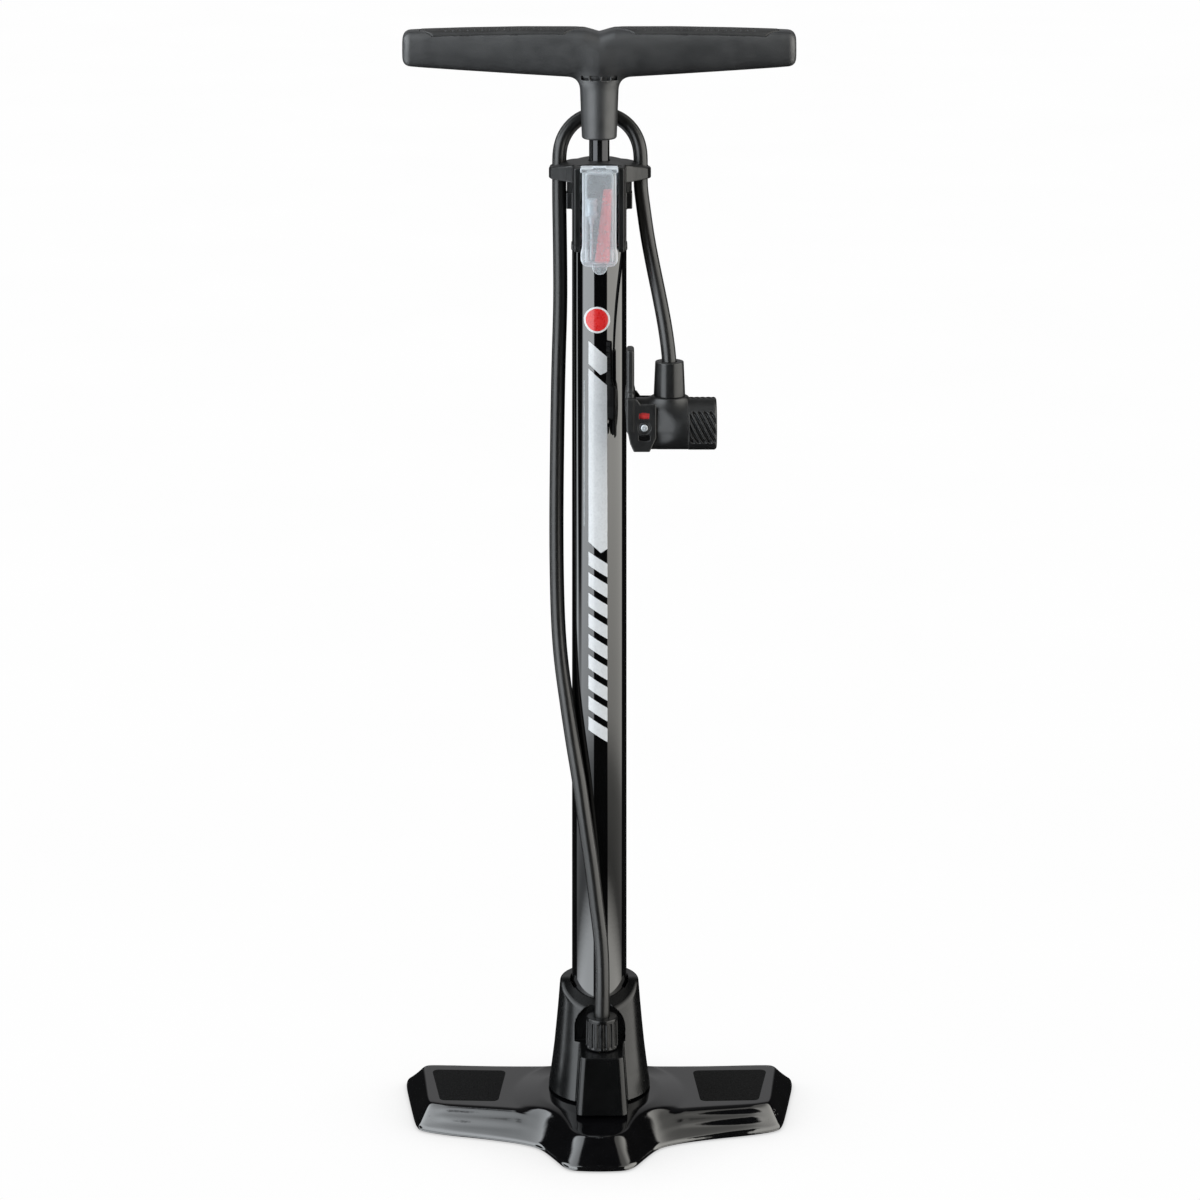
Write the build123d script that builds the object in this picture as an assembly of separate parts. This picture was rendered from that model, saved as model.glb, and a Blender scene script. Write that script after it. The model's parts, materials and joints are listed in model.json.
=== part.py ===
from build123d import *
import math
import os

os.makedirs("parts", exist_ok=True)

# Floor pump for tyres. Millimetres. Origin on the ground under the barrel axis,
# +Z up, -Y towards the hose port and the accessory case, +X towards the pump head.

# ---------------------------------------------------------------- driving sizes
BARREL_OD = 32.0            # steel tube, the size everything else is set from
BARREL_WALL = 1.5
BARREL_Z0 = 30.0
BARREL_Z1 = 548.0
ROD_R = 6.0
ROD_RUN = 0.05              # radial running clearance of rod and pins
HOSE_R = 4.2
HOSE_BORE_R = 2.6
HANDLE_HALF = 115.5
STROKE = 455.0
BASE_TOP_Z = 14.0
HUB_TOP_Z = 16.5
SHEET = 1.6
BOOT_TOP_Z = 79.0
PORT_X, PORT_Y = 1.5, -31.0
HEAD_Y, HEAD_Z = -30.0, 410.5
NECK_X = 40.6
PIN_X, PIN_Z = 25.9, 410.5
CLIP_L, CLIP_R, CLIP_Y = -23.6, 24.4, 10.0
HOSE_PIVOT_Z = 542.0
VALVE_R = 4.0               # bore for a tyre valve stem

BR = BARREL_OD / 2
BI = BR - BARREL_WALL


# ---------------------------------------------------------------------- helpers
def cyl(r, z0, z1, x=0.0, y=0.0):
    return Pos(x, y, (z0 + z1) / 2) * Cylinder(r, z1 - z0)


def tube(ro, ri, z0, z1, x=0.0, y=0.0):
    return cyl(ro, z0, z1, x, y) - cyl(ri, z0 - 1, z1 + 1, x, y)


def xcyl(r, x0, x1, y=HEAD_Y, z=HEAD_Z):
    return Pos((x0 + x1) / 2, y, z) * Rot(0, 90, 0) * Cylinder(r, x1 - x0)


def ycyl(r, y0, y1, x, z):
    return Pos(x, (y0 + y1) / 2, z) * Rot(90, 0, 0) * Cylinder(r, y1 - y0)


def block(x0, x1, y0, y1, z0, z1):
    return Pos((x0 + x1) / 2, (y0 + y1) / 2, (z0 + z1) / 2) * Box(x1 - x0, y1 - y0, z1 - z0)


def cone(r0, r1, z0, z1, x=0.0, y=0.0):
    return Pos(x, y, (z0 + z1) / 2) * Cone(r0, r1, z1 - z0)


def soften(part, edges, radii):
    """Rounds the edges with the first radius that the geometry accepts."""
    for r in radii:
        try:
            out = fillet(edges, r)
            if out.is_valid and abs(out.volume) > 0:
                return out
        except Exception:
            continue
    return part


def poly_face(points, z):
    return Plane.XY.offset(z) * make_face(Polyline(*[(x, y) for x, y in points], close=True))


def inset(points, d):
    """Moves every side of a counter-clockwise polygon inwards by d."""
    n, out = len(points), []
    for i in range(n):
        (ax, ay), (bx, by), (cx, cy) = points[i - 1], points[i], points[(i + 1) % n]
        ux, uy = bx - ax, by - ay
        vx, vy = cx - bx, cy - by
        lu, lv = math.hypot(ux, uy), math.hypot(vx, vy)
        n1 = (-uy / lu, ux / lu)
        n2 = (-vy / lv, vx / lv)
        s = 1 + n1[0] * n2[0] + n1[1] * n2[1]
        out.append((bx + d * (n1[0] + n2[0]) / s, by + d * (n1[1] + n2[1]) / s))
    return out


def mirrored(half):
    """Closes a right-hand outline (front centre to back centre) with its mirror image."""
    left = [(-x, y) for x, y in reversed(half) if abs(x) > 1e-6]
    return half + left


def resample(points, step):
    """A smooth chain of evenly spaced points through the given ones."""
    pts = [Vector(*p) for p in points]
    dense = []
    for i in range(len(pts) - 1):
        p0, p1, p2, p3 = pts[max(i - 1, 0)], pts[i], pts[i + 1], pts[min(i + 2, len(pts) - 1)]
        d12 = (p2 - p1).length ** 0.5
        m1 = m2 = p2 - p1
        if i > 0:
            d01 = (p1 - p0).length ** 0.5
            m1 = (p2 - p1) + ((p1 - p0) * (1 / d01) - (p2 - p0) * (1 / (d01 + d12))) * d12
        if i < len(pts) - 2:
            d23 = (p3 - p2).length ** 0.5
            m2 = (p2 - p1) + ((p3 - p2) * (1 / d23) - (p3 - p1) * (1 / (d12 + d23))) * d12
        for s in range(40):
            u = s / 40
            dense.append(p1 * (2 * u**3 - 3 * u**2 + 1) + m1 * (u**3 - 2 * u**2 + u)
                         + p2 * (-2 * u**3 + 3 * u**2) + m2 * (u**3 - u**2))
    dense.append(pts[-1])
    run = [0.0]
    for a, b in zip(dense, dense[1:]):
        run.append(run[-1] + (b - a).length)
    count, out, m = max(2, round(run[-1] / step)), [], 0
    for c in range(count + 1):
        t = run[-1] * c / count
        while m < len(run) - 2 and run[m + 1] < t:
            m += 1
        f = (t - run[m]) / max(run[m + 1] - run[m], 1e-9)
        out.append(dense[m] + (dense[m + 1] - dense[m]) * min(max(f, 0), 1))
    return out


def hose_body(points, step, count):
    """A round hose through the points, skinned over evenly spread circles."""
    path = Spline(*resample(points, step))
    rings = []
    for i in range(count + 1):
        along = path % (i / count)
        across = (0, 1, 0) if abs(along.Y) < 0.9 else (0, 0, 1)
        rings.append(Plane(origin=path @ (i / count), x_dir=across, z_dir=along) * Circle(HOSE_R))
    return loft(rings)


def save(part, name):
    solids = part.solids()
    body = solids[0] if len(solids) == 1 else Compound(children=list(solids))
    body.label = name
    export_step(body, f"parts/{name}.step")


# ------------------------------------------------------------------- base plate
# Ground outline and top outline, right half, front centre to back centre.
GROUND = [(0, -85), (15, -84), (20.5, -79), (26, -68), (32, -57), (37, -51.5), (48, -46), (67.5, -40),
          (88.5, -35), (104, -29), (107, -21), (111, 5), (115, 33), (115, 41), (113, 46), (60, 46), (0, 46)]
TOP = [(0, -67.5), (10, -67), (13.5, -64), (18, -55), (23, -45), (30, -36), (43, -29), (63, -26.5),
       (84, -24), (97, -22.5), (99.3, -20), (101.6, 5), (104, 30), (104, 33), (101, 35), (56, 32), (0, 33)]
HUB0 = [(0, -62), (9, -60), (12.5, -56), (17, -48), (24, -40), (33, -33), (46, -24), (52, -10),
        (54, 4), (50, 22), (38, 30), (18, 31.5), (0, 31.5)]
HUB1 = [(0, -52), (8, -51), (11, -49), (15, -45), (21, -40), (28, -34), (36, -25), (40, -11),
        (41, 3), (38, 17), (30, 26), (16, 29.5), (0, 29.5)]
ground, top = mirrored(GROUND), mirrored(TOP)
rim = [(x, y) for x, y in ground]
lip = extrude(poly_face(rim, 0), 1.6)
outer = lip + loft([poly_face(rim, 1.6), poly_face(top, BASE_TOP_Z)], ruled=True)
outer += loft([poly_face(mirrored(HUB0), BASE_TOP_Z), poly_face(mirrored(HUB1), HUB_TOP_Z)], ruled=True)
inner = extrude(poly_face(inset(rim, SHEET), -1), 2.6)
inner += loft([poly_face(inset(rim, SHEET), 1.6), poly_face(inset(top, SHEET), BASE_TOP_Z - SHEET)], ruled=True)
SCREWS = [(17, 17), (-17, 17), (17, -17), (-17, -17)]
base_plate = outer - inner
base_plate -= loft([poly_face(inset(mirrored(HUB0), 3.0), BASE_TOP_Z - SHEET - 0.5),
                    poly_face(inset(mirrored(HUB1), 3.0), HUB_TOP_Z - SHEET)], ruled=True)
for x, y in SCREWS:
    base_plate -= cyl(2.15, 5, 20, x, y)
PAD = [(58.9, -19.3), (92.7, -17.9), (99.4, 26.6), (55.4, 25.0)]


def pad(sign):
    pts = [(sign * x, y) for x, y in PAD]
    sk = make_face(Polyline(*pts, close=True))
    sk = fillet(sk.vertices(), 3.5)
    return sk


tread_right = extrude(Plane.XY.offset(BASE_TOP_Z - 0.4) * pad(1), 0.6)
tread_left = extrude(Plane.XY.offset(BASE_TOP_Z - 0.4) * pad(-1), 0.6)
base_plate = base_plate - tread_right - tread_left

# ------------------------------------------------------------------------- boot
BORE = BR + 0.02
boot = loft([
    Plane(origin=(0, -2, HUB_TOP_Z)) * Ellipse(29.9, 31.5),
    Plane(origin=(0, -1.2, 40)) * Ellipse(26.7, 28.0),
    Plane(origin=(0, -0.4, 64)) * Ellipse(24.2, 24.6),
    Plane(origin=(0, 0, BOOT_TOP_Z + 3)) * Ellipse(22.4, 22.4),
])
slope = Pos(0, 0, BOOT_TOP_Z) * Rot(25, 0, 0) * (Pos(0, -40, 10) * Box(80, 80, 20))
boot = boot - block(-40, 40, -40, 40, BOOT_TOP_Z, BOOT_TOP_Z + 10) - slope
boot = soften(boot, boot.edges().filter_by(lambda e: e.bounding_box().min.Z > 55), (3.0, 2.0, 1.2))
port = loft([
    Plane(origin=(PORT_X, -32, HUB_TOP_Z)) * RectangleRounded(30.0, 36.0, 5),
    Plane(origin=(PORT_X, -30.5, 50)) * RectangleRounded(25.3, 35.0, 5),
])
boot = boot + port
arch = block(PORT_X - 13.2, PORT_X + 13.2, -60, -21.2, 50, 58) + (
    Pos(PORT_X, 0, 58) * Rot(90, 0, 0) * (Pos(0, 0, 40.6) * Cylinder(13.2, 38.8)))
boot -= arch
boot -= cyl(BORE, 24, 100)
boot -= cyl(BR + 1.2, 68, 100)
boot -= cyl(6, 18.5, 24.5)                                     # valve chamber
boot -= cyl(5.02, 30, 60, PORT_X, PORT_Y)                      # port thread
boot -= cyl(2.5, 21, 31, PORT_X, PORT_Y)
boot -= ycyl(1.2, -30.5, -3, PORT_X, 22.6)                      # air passage
for x, y in SCREWS:
    boot -= cyl(2.05, 10, 27, x, y)

screws = [cyl(4.0, 11.9, HUB_TOP_Z - SHEET - 0.02, x, y) + cyl(2.0, 12, 26.5, x, y)
          - block(x - 3, x + 3, y - 0.5, y + 0.5, 11, 13) for x, y in SCREWS]

# ------------------------------------------------- barrel and check valve inside
barrel = tube(BR, BI, BARREL_Z0, BARREL_Z1)
valve_seat = cyl(15.9, 24.02, 28) - cyl(2.6, 20, 30) - cone(2.6, 4.2, 26.6, 28.01)
barrel_gasket = tube(15.8, 12.6, 28, 30)
poppet = cyl(4.4, 21.6, 23.95) + cyl(1.2, 20.2, 21.6)
spring_wire = Wire([Edge.make_helix(pitch=0.95, height=2.6, radius=2.7)])
spring = Pos(0, 0, 18.75) * sweep(Plane(origin=spring_wire @ 0, z_dir=spring_wire % 0) * Circle(0.22),
                                  path=spring_wire)

# ---------------------------------------------------------- barb, nut and hose
barb = (cyl(5.0, 31, 51.5, PORT_X, PORT_Y) + cyl(2.56, 51.5, 66, PORT_X, PORT_Y)
        - cyl(1.3, 30, 70, PORT_X, PORT_Y))
nut = (cone(9.3, 8.9, 50.02, 68, PORT_X, PORT_Y) - cyl(5.1, 49, 51.6, PORT_X, PORT_Y)
       - cyl(HOSE_R + 0.03, 51.5, 70, PORT_X, PORT_Y))
nut = soften(nut, nut.edges().filter_by(GeomType.CIRCLE).group_by(Axis.Z)[-1], (1.2, 0.6))
for i in range(18):
    a = math.radians(20 * i)
    nut -= cyl(0.75, 52.5, 64.5, PORT_X + 9.35 * math.cos(a), PORT_Y + 9.35 * math.sin(a))

RUN = [(PORT_X, PORT_Y, 51.7), (PORT_X, PORT_Y, 60), (PORT_X, PORT_Y, 68), (1.8, -30, 85), (1.1, -27.2, 107.6), (-1.7, -24.8, 130.4),
       (-4.65, -23, 153.5), (-8.3, -21, 176.7), (-11.6, -18.2, 199), (-15.6, -14.0, 221.7), (-19.2, -9, 244.1),
       (-22.4, -4, 266.1), (-24.2, 0, 288.6), (-25.2, 3.5, 334.7), (-24.7, 6, 400), (-24.0, 7.5, 437.4),
       (-23.0, 8.5, 474.9), (-23.2, 9.3, 507.8), (CLIP_L, 9.9, 533.7), (CLIP_L, CLIP_Y, 551)]
LOOP_X = (CLIP_L + CLIP_R) / 2
LOOP_R = (CLIP_R - CLIP_L) / 2
for deg in (12, 36, 60, 90, 120, 144, 168):
    t = math.radians(deg)
    RUN.append((LOOP_X - LOOP_R * math.cos(t), CLIP_Y + 7.4 * math.sin(t) ** 1.2, 560 + LOOP_R * math.sin(t)))
RUN += [(CLIP_R, CLIP_Y, 551), (CLIP_R, CLIP_Y, HOSE_PIVOT_Z + HOSE_R + 0.15)]
hose = hose_body(RUN, 16.0, 40)
hose = hose - cyl(HOSE_BORE_R, 51, 67, PORT_X, PORT_Y)

DROP = [(CLIP_R, CLIP_Y, HOSE_PIVOT_Z), (25.7, 7.9, 531.6), (28.3, 2.5, 513.6), (31.7, -6, 496.3), (35.4, -16, 479.3),
        (38.6, -24.5, 462.3), (40.3, -29.2, 449), (NECK_X, HEAD_Y, 444),
        (NECK_X, HEAD_Y, 436), (NECK_X, HEAD_Y, 428)]
hose_free = hose_body(DROP, 12.0, 14)
hose_free = (hose_free + Pos(CLIP_R, CLIP_Y, HOSE_PIVOT_Z) * Sphere(HOSE_R)
             - cyl(HOSE_BORE_R, 427, 443.5, NECK_X, HEAD_Y))

# ------------------------------------------------------------- collar at the top
YOKE = [(0, -13.5), (15, -13.5), (19.5, -9.5), (24.5, -3), (28.6, 2.5), (29.4, 6), (29.4, 16.2), (16, 16.2), (0, 12)]
yoke_half = extrude(Plane.XY.offset(547) * make_face(Polyline(*YOKE, close=True)), 14)
collar = cyl(19.1, 531, 561) + block(-15.4, 15.4, -27.5, 0, 509, 561)
collar += block(-16.3, 16.3, -27.5, -2, 509, 511.4)
collar += yoke_half
collar += mirror(yoke_half, Plane.YZ)
crown = make_face(Plane.XZ * (Polyline((-31, 553), (-31, 500), (31, 500), (31, 553)) + ThreePointArc((31, 553), (0, 558.8), (-31, 553))))
collar = collar & (Pos(0, 30, 0) * extrude(crown, 70))
collar -= cyl(BORE, 500, BARREL_Z1 + 0.2)
collar -= cyl(9.05, 540, 560)
collar -= block(-11.2, 11.2, -29, -17.9, 500, 560)
collar -= block(-13.05, 13.05, -20.05, -17.9, 511, 560)
for cx in (CLIP_L, CLIP_R):
    collar -= cyl(HOSE_R + 0.05, 540, 560, cx, CLIP_Y)
    collar -= block(cx - 3.4, cx + 3.4, CLIP_Y, 20, 540, 560)
collar = soften(collar, collar.edges().filter_by(Axis.Z).filter_by(
    lambda e: abs(e.center().X) > 29 and e.center().Y < 10), (2.0, 1.0))

bush = (tube(BI - 0.03, ROD_R + ROD_RUN, 520, BARREL_Z1) + tube(9.0, ROD_R + ROD_RUN, BARREL_Z1, 553))
wiper = tube(9.0, ROD_R + 0.02, 553, 557)
bumper = tube(12.0, ROD_R + 0.3, 512, 520)

# -------------------------------------------------- piston, rod and pump handle
piston = tube(BI - 0.08, 4.05, 37, 53) - tube(BI + 2, 12.4, 43, 46.4)
piston_seal = tube(BI - 0.02, 12.45, 43.1, 46.3)
piston_washer = tube(9.0, 4.02, 35.8, 36.95)
hexagon = extrude(Plane.XY.offset(32) * RegularPolygon(7.2, 6), 3.75)
piston_nut = hexagon - cyl(4.02, 30, 40)
rod = cyl(ROD_R, 53.02, 603) + cyl(4.0, 31.4, 53.02)
rod = soften(rod, rod.edges().filter_by(GeomType.CIRCLE).group_by(Axis.Z)[0], (0.6,))

SECTIONS = [  # x, low z, high z, half depth
    (0, 607.2, 634.6, 15.4), (14, 607.6, 636.4, 15.4), (45, 609.4, 636.6, 15.0), (80, 611.6, 636.0, 14.0),
    (104, 613.2, 635.4, 12.9), (112, 613.9, 635.0, 12.3), (114.6, 614.9, 634.0, 11.2), (HANDLE_HALF, 617.0, 632.0, 9.2)]
half_bar = None
faces = []
for x, z0, z1, hy in SECTIONS:
    f = Plane(origin=(x, 0, (z0 + z1) / 2), x_dir=(0, 1, 0), z_dir=(1, 0, 0)) * RectangleRounded(
        2 * hy, z1 - z0, min(8.5, (z1 - z0) / 2 - 1))
    faces.append(f)
half_bar = loft(faces[:5]) + loft(faces[4:6], ruled=True) + loft(faces[5:7], ruled=True) + loft(faces[6:], ruled=True)
bar = half_bar + mirror(half_bar, Plane.YZ)
stem = cone(10.3, 12.3, 571, 608) + cone(12.0, 17.0, 603.5, 610)
stem = soften(stem, stem.edges().group_by(Axis.Z)[0], (1.5, 1.0))
handle = bar + stem


def grip(sign):
    ys = 10.5
    region = Pos(0, 0, 615) * extrude(make_face(Polyline(
        (sign * 9, 0), (sign * 22, -ys), (sign * 100, -ys + 2), (sign * 105, 0),
        (sign * 100, ys - 2), (sign * 22, ys), close=True)), 40)
    return (bar & region) - Pos(0, 0, -1.8) * bar


grip_right, grip_left = grip(1), grip(-1)
handle = handle - grip_right - grip_left
insert = tube(9.0, ROD_R + 0.01, 582, 603)
handle = handle - cyl(9.01, 582, 603.05) - cyl(ROD_R + 0.01, 560, 604)

# ------------------------------------------------------ accessory case and kit
case = block(-9.85, 9.85, -32, -18.25, 500.7, 556.5)
case = soften(case, case.edges().filter_by(Axis.Y).group_by(Axis.Z)[0], (3.0,))
case = soften(case, case.edges().filter_by(Axis.Z).group_by(Axis.Y)[0], (1.5,))
step = block(-10.9, 10.9, -32.4, -18.25, 500.7, 510)
step = soften(step, step.edges().filter_by(Axis.Y).group_by(Axis.Z)[0], (3.5,))
case += step
case += block(-11.0, 11.0, -32.5, -18.25, 555.6, 557.9)
case += block(-4.2, 4.0, -32.5, -29.5, 557.9, 559.3)
case += block(-12.8, 12.8, -19.75, -18.25, 511.3, 556)
case += Pos(0.3, 0, 501) * ycyl(4.3, -32.4, -30.8, 0, 0)
case -= block(-8.65, 8.65, -30.8, -17, 502, 555.4)
needle = (cyl(3.3, 531.6, 539.9, -4.6, -26) + cyl(3.95, 530, 531.6, -4.6, -26) + cyl(0.9, 504, 530, -4.6, -26)
          - cyl(0.4, 500, 545, -4.6, -26))


def leaning(r0, r1, z0, z1):
    """Tapered body leaning to the right as it rises."""
    return loft([Plane(origin=(1.7 + 0.08 * (z - 503), -25.2, z)) * Circle(r) for r, z in ((r0, z0), (r1, z1))])


inflation_cone = leaning(4.4, 2.7, 503, 545) - leaning(3.3, 1.5, 502.9, 545.1)

# ------------------------------------------------------------------- pump head
head_collar = cone(9.25, 8.4, 426.3, 446.5, NECK_X, HEAD_Y) - cyl(HOSE_R + 0.05, 420, 450, NECK_X, HEAD_Y)
head_collar = soften(head_collar, head_collar.edges().group_by(Axis.Z)[-1].sort_by(SortBy.LENGTH)[-1:], (1.2,))
head_barb = (cyl(4.0, 418, 427.6, NECK_X, HEAD_Y) + cyl(2.56, 427.6, 443, NECK_X, HEAD_Y)
             - cyl(1.3, 410, 450, NECK_X, HEAD_Y))
head = xcyl(14.7, 20.5, 51.25) - block(0, 41.2, HEAD_Y - 30, HEAD_Y - 11, 380, 440) - block(
    0, 41.2, HEAD_Y + 11, HEAD_Y + 30, 380, 440)
head += cyl(9.6, 412, 426.2, NECK_X, HEAD_Y)
nose_cut = block(PIN_X - 20, PIN_X + 3.6, HEAD_Y - 20, HEAD_Y + 20, PIN_Z - 25, PIN_Z) - ycyl(
    5.6, HEAD_Y - 20, HEAD_Y + 20, PIN_X, PIN_Z)
head -= nose_cut
head -= block(0, PIN_X + 7.2, HEAD_Y - 4.3, HEAD_Y + 4.3, PIN_Z - 30, PIN_Z + 8)
head -= xcyl(5.05, 30, 52)
head -= cyl(4.02, 417.9, 430, NECK_X, HEAD_Y)
head -= cyl(1.4, 412, 419, NECK_X, HEAD_Y)
head -= ycyl(2.01, HEAD_Y - 20, HEAD_Y + 20, PIN_X, PIN_Z)
indicator = block(22.4, 29.9, HEAD_Y - 11, HEAD_Y - 10.2, 414.7, 419.7)
head -= indicator

cap = xcyl(15.0, 51.3, 67.8)
cap = soften(cap, cap.edges().filter_by(GeomType.CIRCLE), (1.6, 1.0))
cap = cap - xcyl(8.05, 51, 60.05) - xcyl(VALVE_R, 50, 70)
mouth = Pos(67.3, HEAD_Y, HEAD_Z) * Rot(0, 90, 0) * Cone(VALVE_R, VALVE_R + 1.0, 1.0)
cap -= mouth
for i in range(20):
    a = math.radians(18 * i)
    cap -= xcyl(0.9, 54.5, 64.5, HEAD_Y + 15.3 * math.cos(a), HEAD_Z + 15.3 * math.sin(a))
grommet = xcyl(8.0, 51.35, 60) - xcyl(VALVE_R, 50, 61)
plunger = xcyl(5.0, PIN_X + 4.6 + 0.45, 49.0) - xcyl(1.4, 38, 50) - cyl(1.4, 404, 417, NECK_X, HEAD_Y)
plunger -= xcyl(6, 44.8, 46.4) - xcyl(3.9, 44, 47)
plunger_seal = xcyl(5.03, 44.85, 46.35) - xcyl(3.92, 44, 47)
lever_pin = ycyl(2.0, HEAD_Y - 13.9, HEAD_Y + 13.9, PIN_X, PIN_Z)

HUB = [(15.7, 427.0), (22.0, 424.0), (32.8, 424.0), (32.8, 404.2), (29.3, 396.6), (19.5, 396.6),
       (17.7, 400.6), (16.2, 407.6), (15.7, 414.5)]
hub_face = Plane(origin=(0, HEAD_Y, 0), x_dir=(1, 0, 0), z_dir=(0, -1, 0)) * make_face(Polyline(*HUB, close=True))
cheek_a = extrude(hub_face, 13.4) - block(0, 60, HEAD_Y - 11.2, HEAD_Y + 5, 380, 440)
cheek_b = mirror(cheek_a, Plane(origin=(0, HEAD_Y, 0), z_dir=(0, 1, 0)))
lever = cheek_a + cheek_b
lever += block(15.7, 20.1, HEAD_Y - 13.4, HEAD_Y + 13.4, PIN_Z - 3, 427)
lever += block(15.7, 20.1, HEAD_Y - 8, HEAD_Y + 8, 420, 454.1)
lever += block(17.0, PIN_X, HEAD_Y - 4, HEAD_Y + 4, PIN_Z - 3, PIN_Z + 4.4)
lever += ycyl(4.6, HEAD_Y - 4, HEAD_Y + 4, PIN_X, PIN_Z - 1.6)
lever -= ycyl(2.05, HEAD_Y - 30, HEAD_Y + 30, PIN_X, PIN_Z)
lever -= block(23.0, 29.3, HEAD_Y - 20, HEAD_Y - 8, 415.6, 419.1)
lever -= block(23.0, 29.0, HEAD_Y - 20, HEAD_Y - 8, 402.9, 406.3)
lever = soften(lever, lever.edges().filter_by(Axis.X).group_by(Axis.Z)[-1], (2.5, 1.5))

# ------------------------------------------------------------------------ write
NODES = {
    "base_plate": base_plate,
    "tread_pad_left": tread_left,
    "tread_pad_right": tread_right,
    "base_boot": boot,
    "barrel": barrel,
    "barrel_gasket": barrel_gasket,
    "check_valve_seat": valve_seat,
    "check_valve_poppet": poppet,
    "check_valve_spring": spring,
    "port_barb": barb,
    "hose_nut": nut,
    "hose": hose,
    "top_collar": collar,
    "rod_guide_bush": bush,
    "rod_wiper": wiper,
    "stroke_bumper": bumper,
    "piston": piston,
    "piston_seal": piston_seal,
    "piston_washer": piston_washer,
    "piston_nut": piston_nut,
    "piston_rod": rod,
    "handle": handle,
    "handle_insert": insert,
    "grip_pad_left": grip_left,
    "grip_pad_right": grip_right,
    "accessory_case": case,
    "ball_needle": needle,
    "inflation_cone": inflation_cone,
    "hose_free_end": hose_free,
    "head_collar": head_collar,
    "head_barb": head_barb,
    "head_body": head,
    "head_cap": cap,
    "valve_grommet": grommet,
    "head_plunger": plunger,
    "plunger_seal": plunger_seal,
    "lever_pin": lever_pin,
    "lock_indicator": indicator,
    "lever": lever,
}
for name, part in NODES.items():
    save(part, name)
export_step(Compound(children=[s for part in screws for s in part.solids()]), "parts/boot_screws.step")
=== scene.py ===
import json
import math

import bpy
import numpy as np
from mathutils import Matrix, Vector

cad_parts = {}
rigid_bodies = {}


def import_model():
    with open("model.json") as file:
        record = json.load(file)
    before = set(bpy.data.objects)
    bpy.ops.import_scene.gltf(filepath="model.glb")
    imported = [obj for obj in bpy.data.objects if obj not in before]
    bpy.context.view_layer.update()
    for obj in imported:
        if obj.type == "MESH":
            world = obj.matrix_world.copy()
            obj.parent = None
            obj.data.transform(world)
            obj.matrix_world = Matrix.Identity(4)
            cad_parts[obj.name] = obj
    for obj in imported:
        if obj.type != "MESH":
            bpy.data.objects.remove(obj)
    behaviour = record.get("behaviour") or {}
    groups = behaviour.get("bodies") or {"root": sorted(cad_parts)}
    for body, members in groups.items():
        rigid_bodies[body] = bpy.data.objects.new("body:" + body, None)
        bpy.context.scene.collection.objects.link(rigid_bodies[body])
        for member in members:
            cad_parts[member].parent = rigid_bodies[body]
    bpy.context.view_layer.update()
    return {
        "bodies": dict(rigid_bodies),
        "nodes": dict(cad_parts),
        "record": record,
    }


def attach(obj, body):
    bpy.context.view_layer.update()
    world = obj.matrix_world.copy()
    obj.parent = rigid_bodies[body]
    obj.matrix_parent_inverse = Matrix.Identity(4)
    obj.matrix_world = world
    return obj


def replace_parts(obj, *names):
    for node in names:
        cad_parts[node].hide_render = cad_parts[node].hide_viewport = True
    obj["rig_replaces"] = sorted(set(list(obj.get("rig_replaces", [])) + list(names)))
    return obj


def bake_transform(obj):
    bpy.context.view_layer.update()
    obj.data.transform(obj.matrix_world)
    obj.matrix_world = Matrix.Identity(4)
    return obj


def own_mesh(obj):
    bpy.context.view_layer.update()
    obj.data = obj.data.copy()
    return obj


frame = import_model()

S = 0.001
rng = np.random.default_rng(7)

# =========================================================== implicit modelling
# Shapes are signed distances in millimetres; each becomes a mesh by surface nets,
# and its vertices are then pulled onto the exact surface.


def smin(a, b, k):
    h = np.clip(0.5 + 0.5 * (b - a) / k, 0, 1)
    return b + (a - b) * h - k * h * (1 - h)


def smax(a, b, k):
    return -smin(-a, -b, k)


def rbox(p, x0, x1, y0, y1, z0, z1, r=0.8):
    q = [np.abs(p[0] - (x0 + x1) / 2) - (x1 - x0) / 2 + r,
         np.abs(p[1] - (y0 + y1) / 2) - (y1 - y0) / 2 + r,
         np.abs(p[2] - (z0 + z1) / 2) - (z1 - z0) / 2 + r]
    out = np.sqrt(sum(np.maximum(v, 0) ** 2 for v in q))
    return out + np.minimum(np.maximum(np.maximum(q[0], q[1]), q[2]), 0) - r


def cone_like(rad, along, r0, r1, a0, a1, rr):
    """Round body whose radius runs from r0 at a0 to r1 at a1, with rounded rims."""
    slope = (r1 - r0) / (a1 - a0)
    d = (rad - (r0 + slope * (along - a0))) / math.sqrt(1 + slope * slope) + rr
    e = np.abs(along - (a0 + a1) / 2) - abs(a1 - a0) / 2 + rr
    return np.minimum(np.maximum(d, e), 0) + np.hypot(np.maximum(d, 0), np.maximum(e, 0)) - rr


def cz(p, cx, cy, r0, z0, z1, rr=0.5, r1=None):
    return cone_like(np.hypot(p[0] - cx, p[1] - cy), p[2], r0, r0 if r1 is None else r1, z0, z1, rr)


def cx_(p, cy, cz0, r0, x0, x1, rr=0.5, r1=None):
    return cone_like(np.hypot(p[1] - cy, p[2] - cz0), p[0], r0, r0 if r1 is None else r1, x0, x1, rr)


def cy_(p, cx, cz0, r0, y0, y1, rr=0.5, r1=None):
    return cone_like(np.hypot(p[0] - cx, p[2] - cz0), p[1], r0, r0 if r1 is None else r1, y0, y1, rr)


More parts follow.
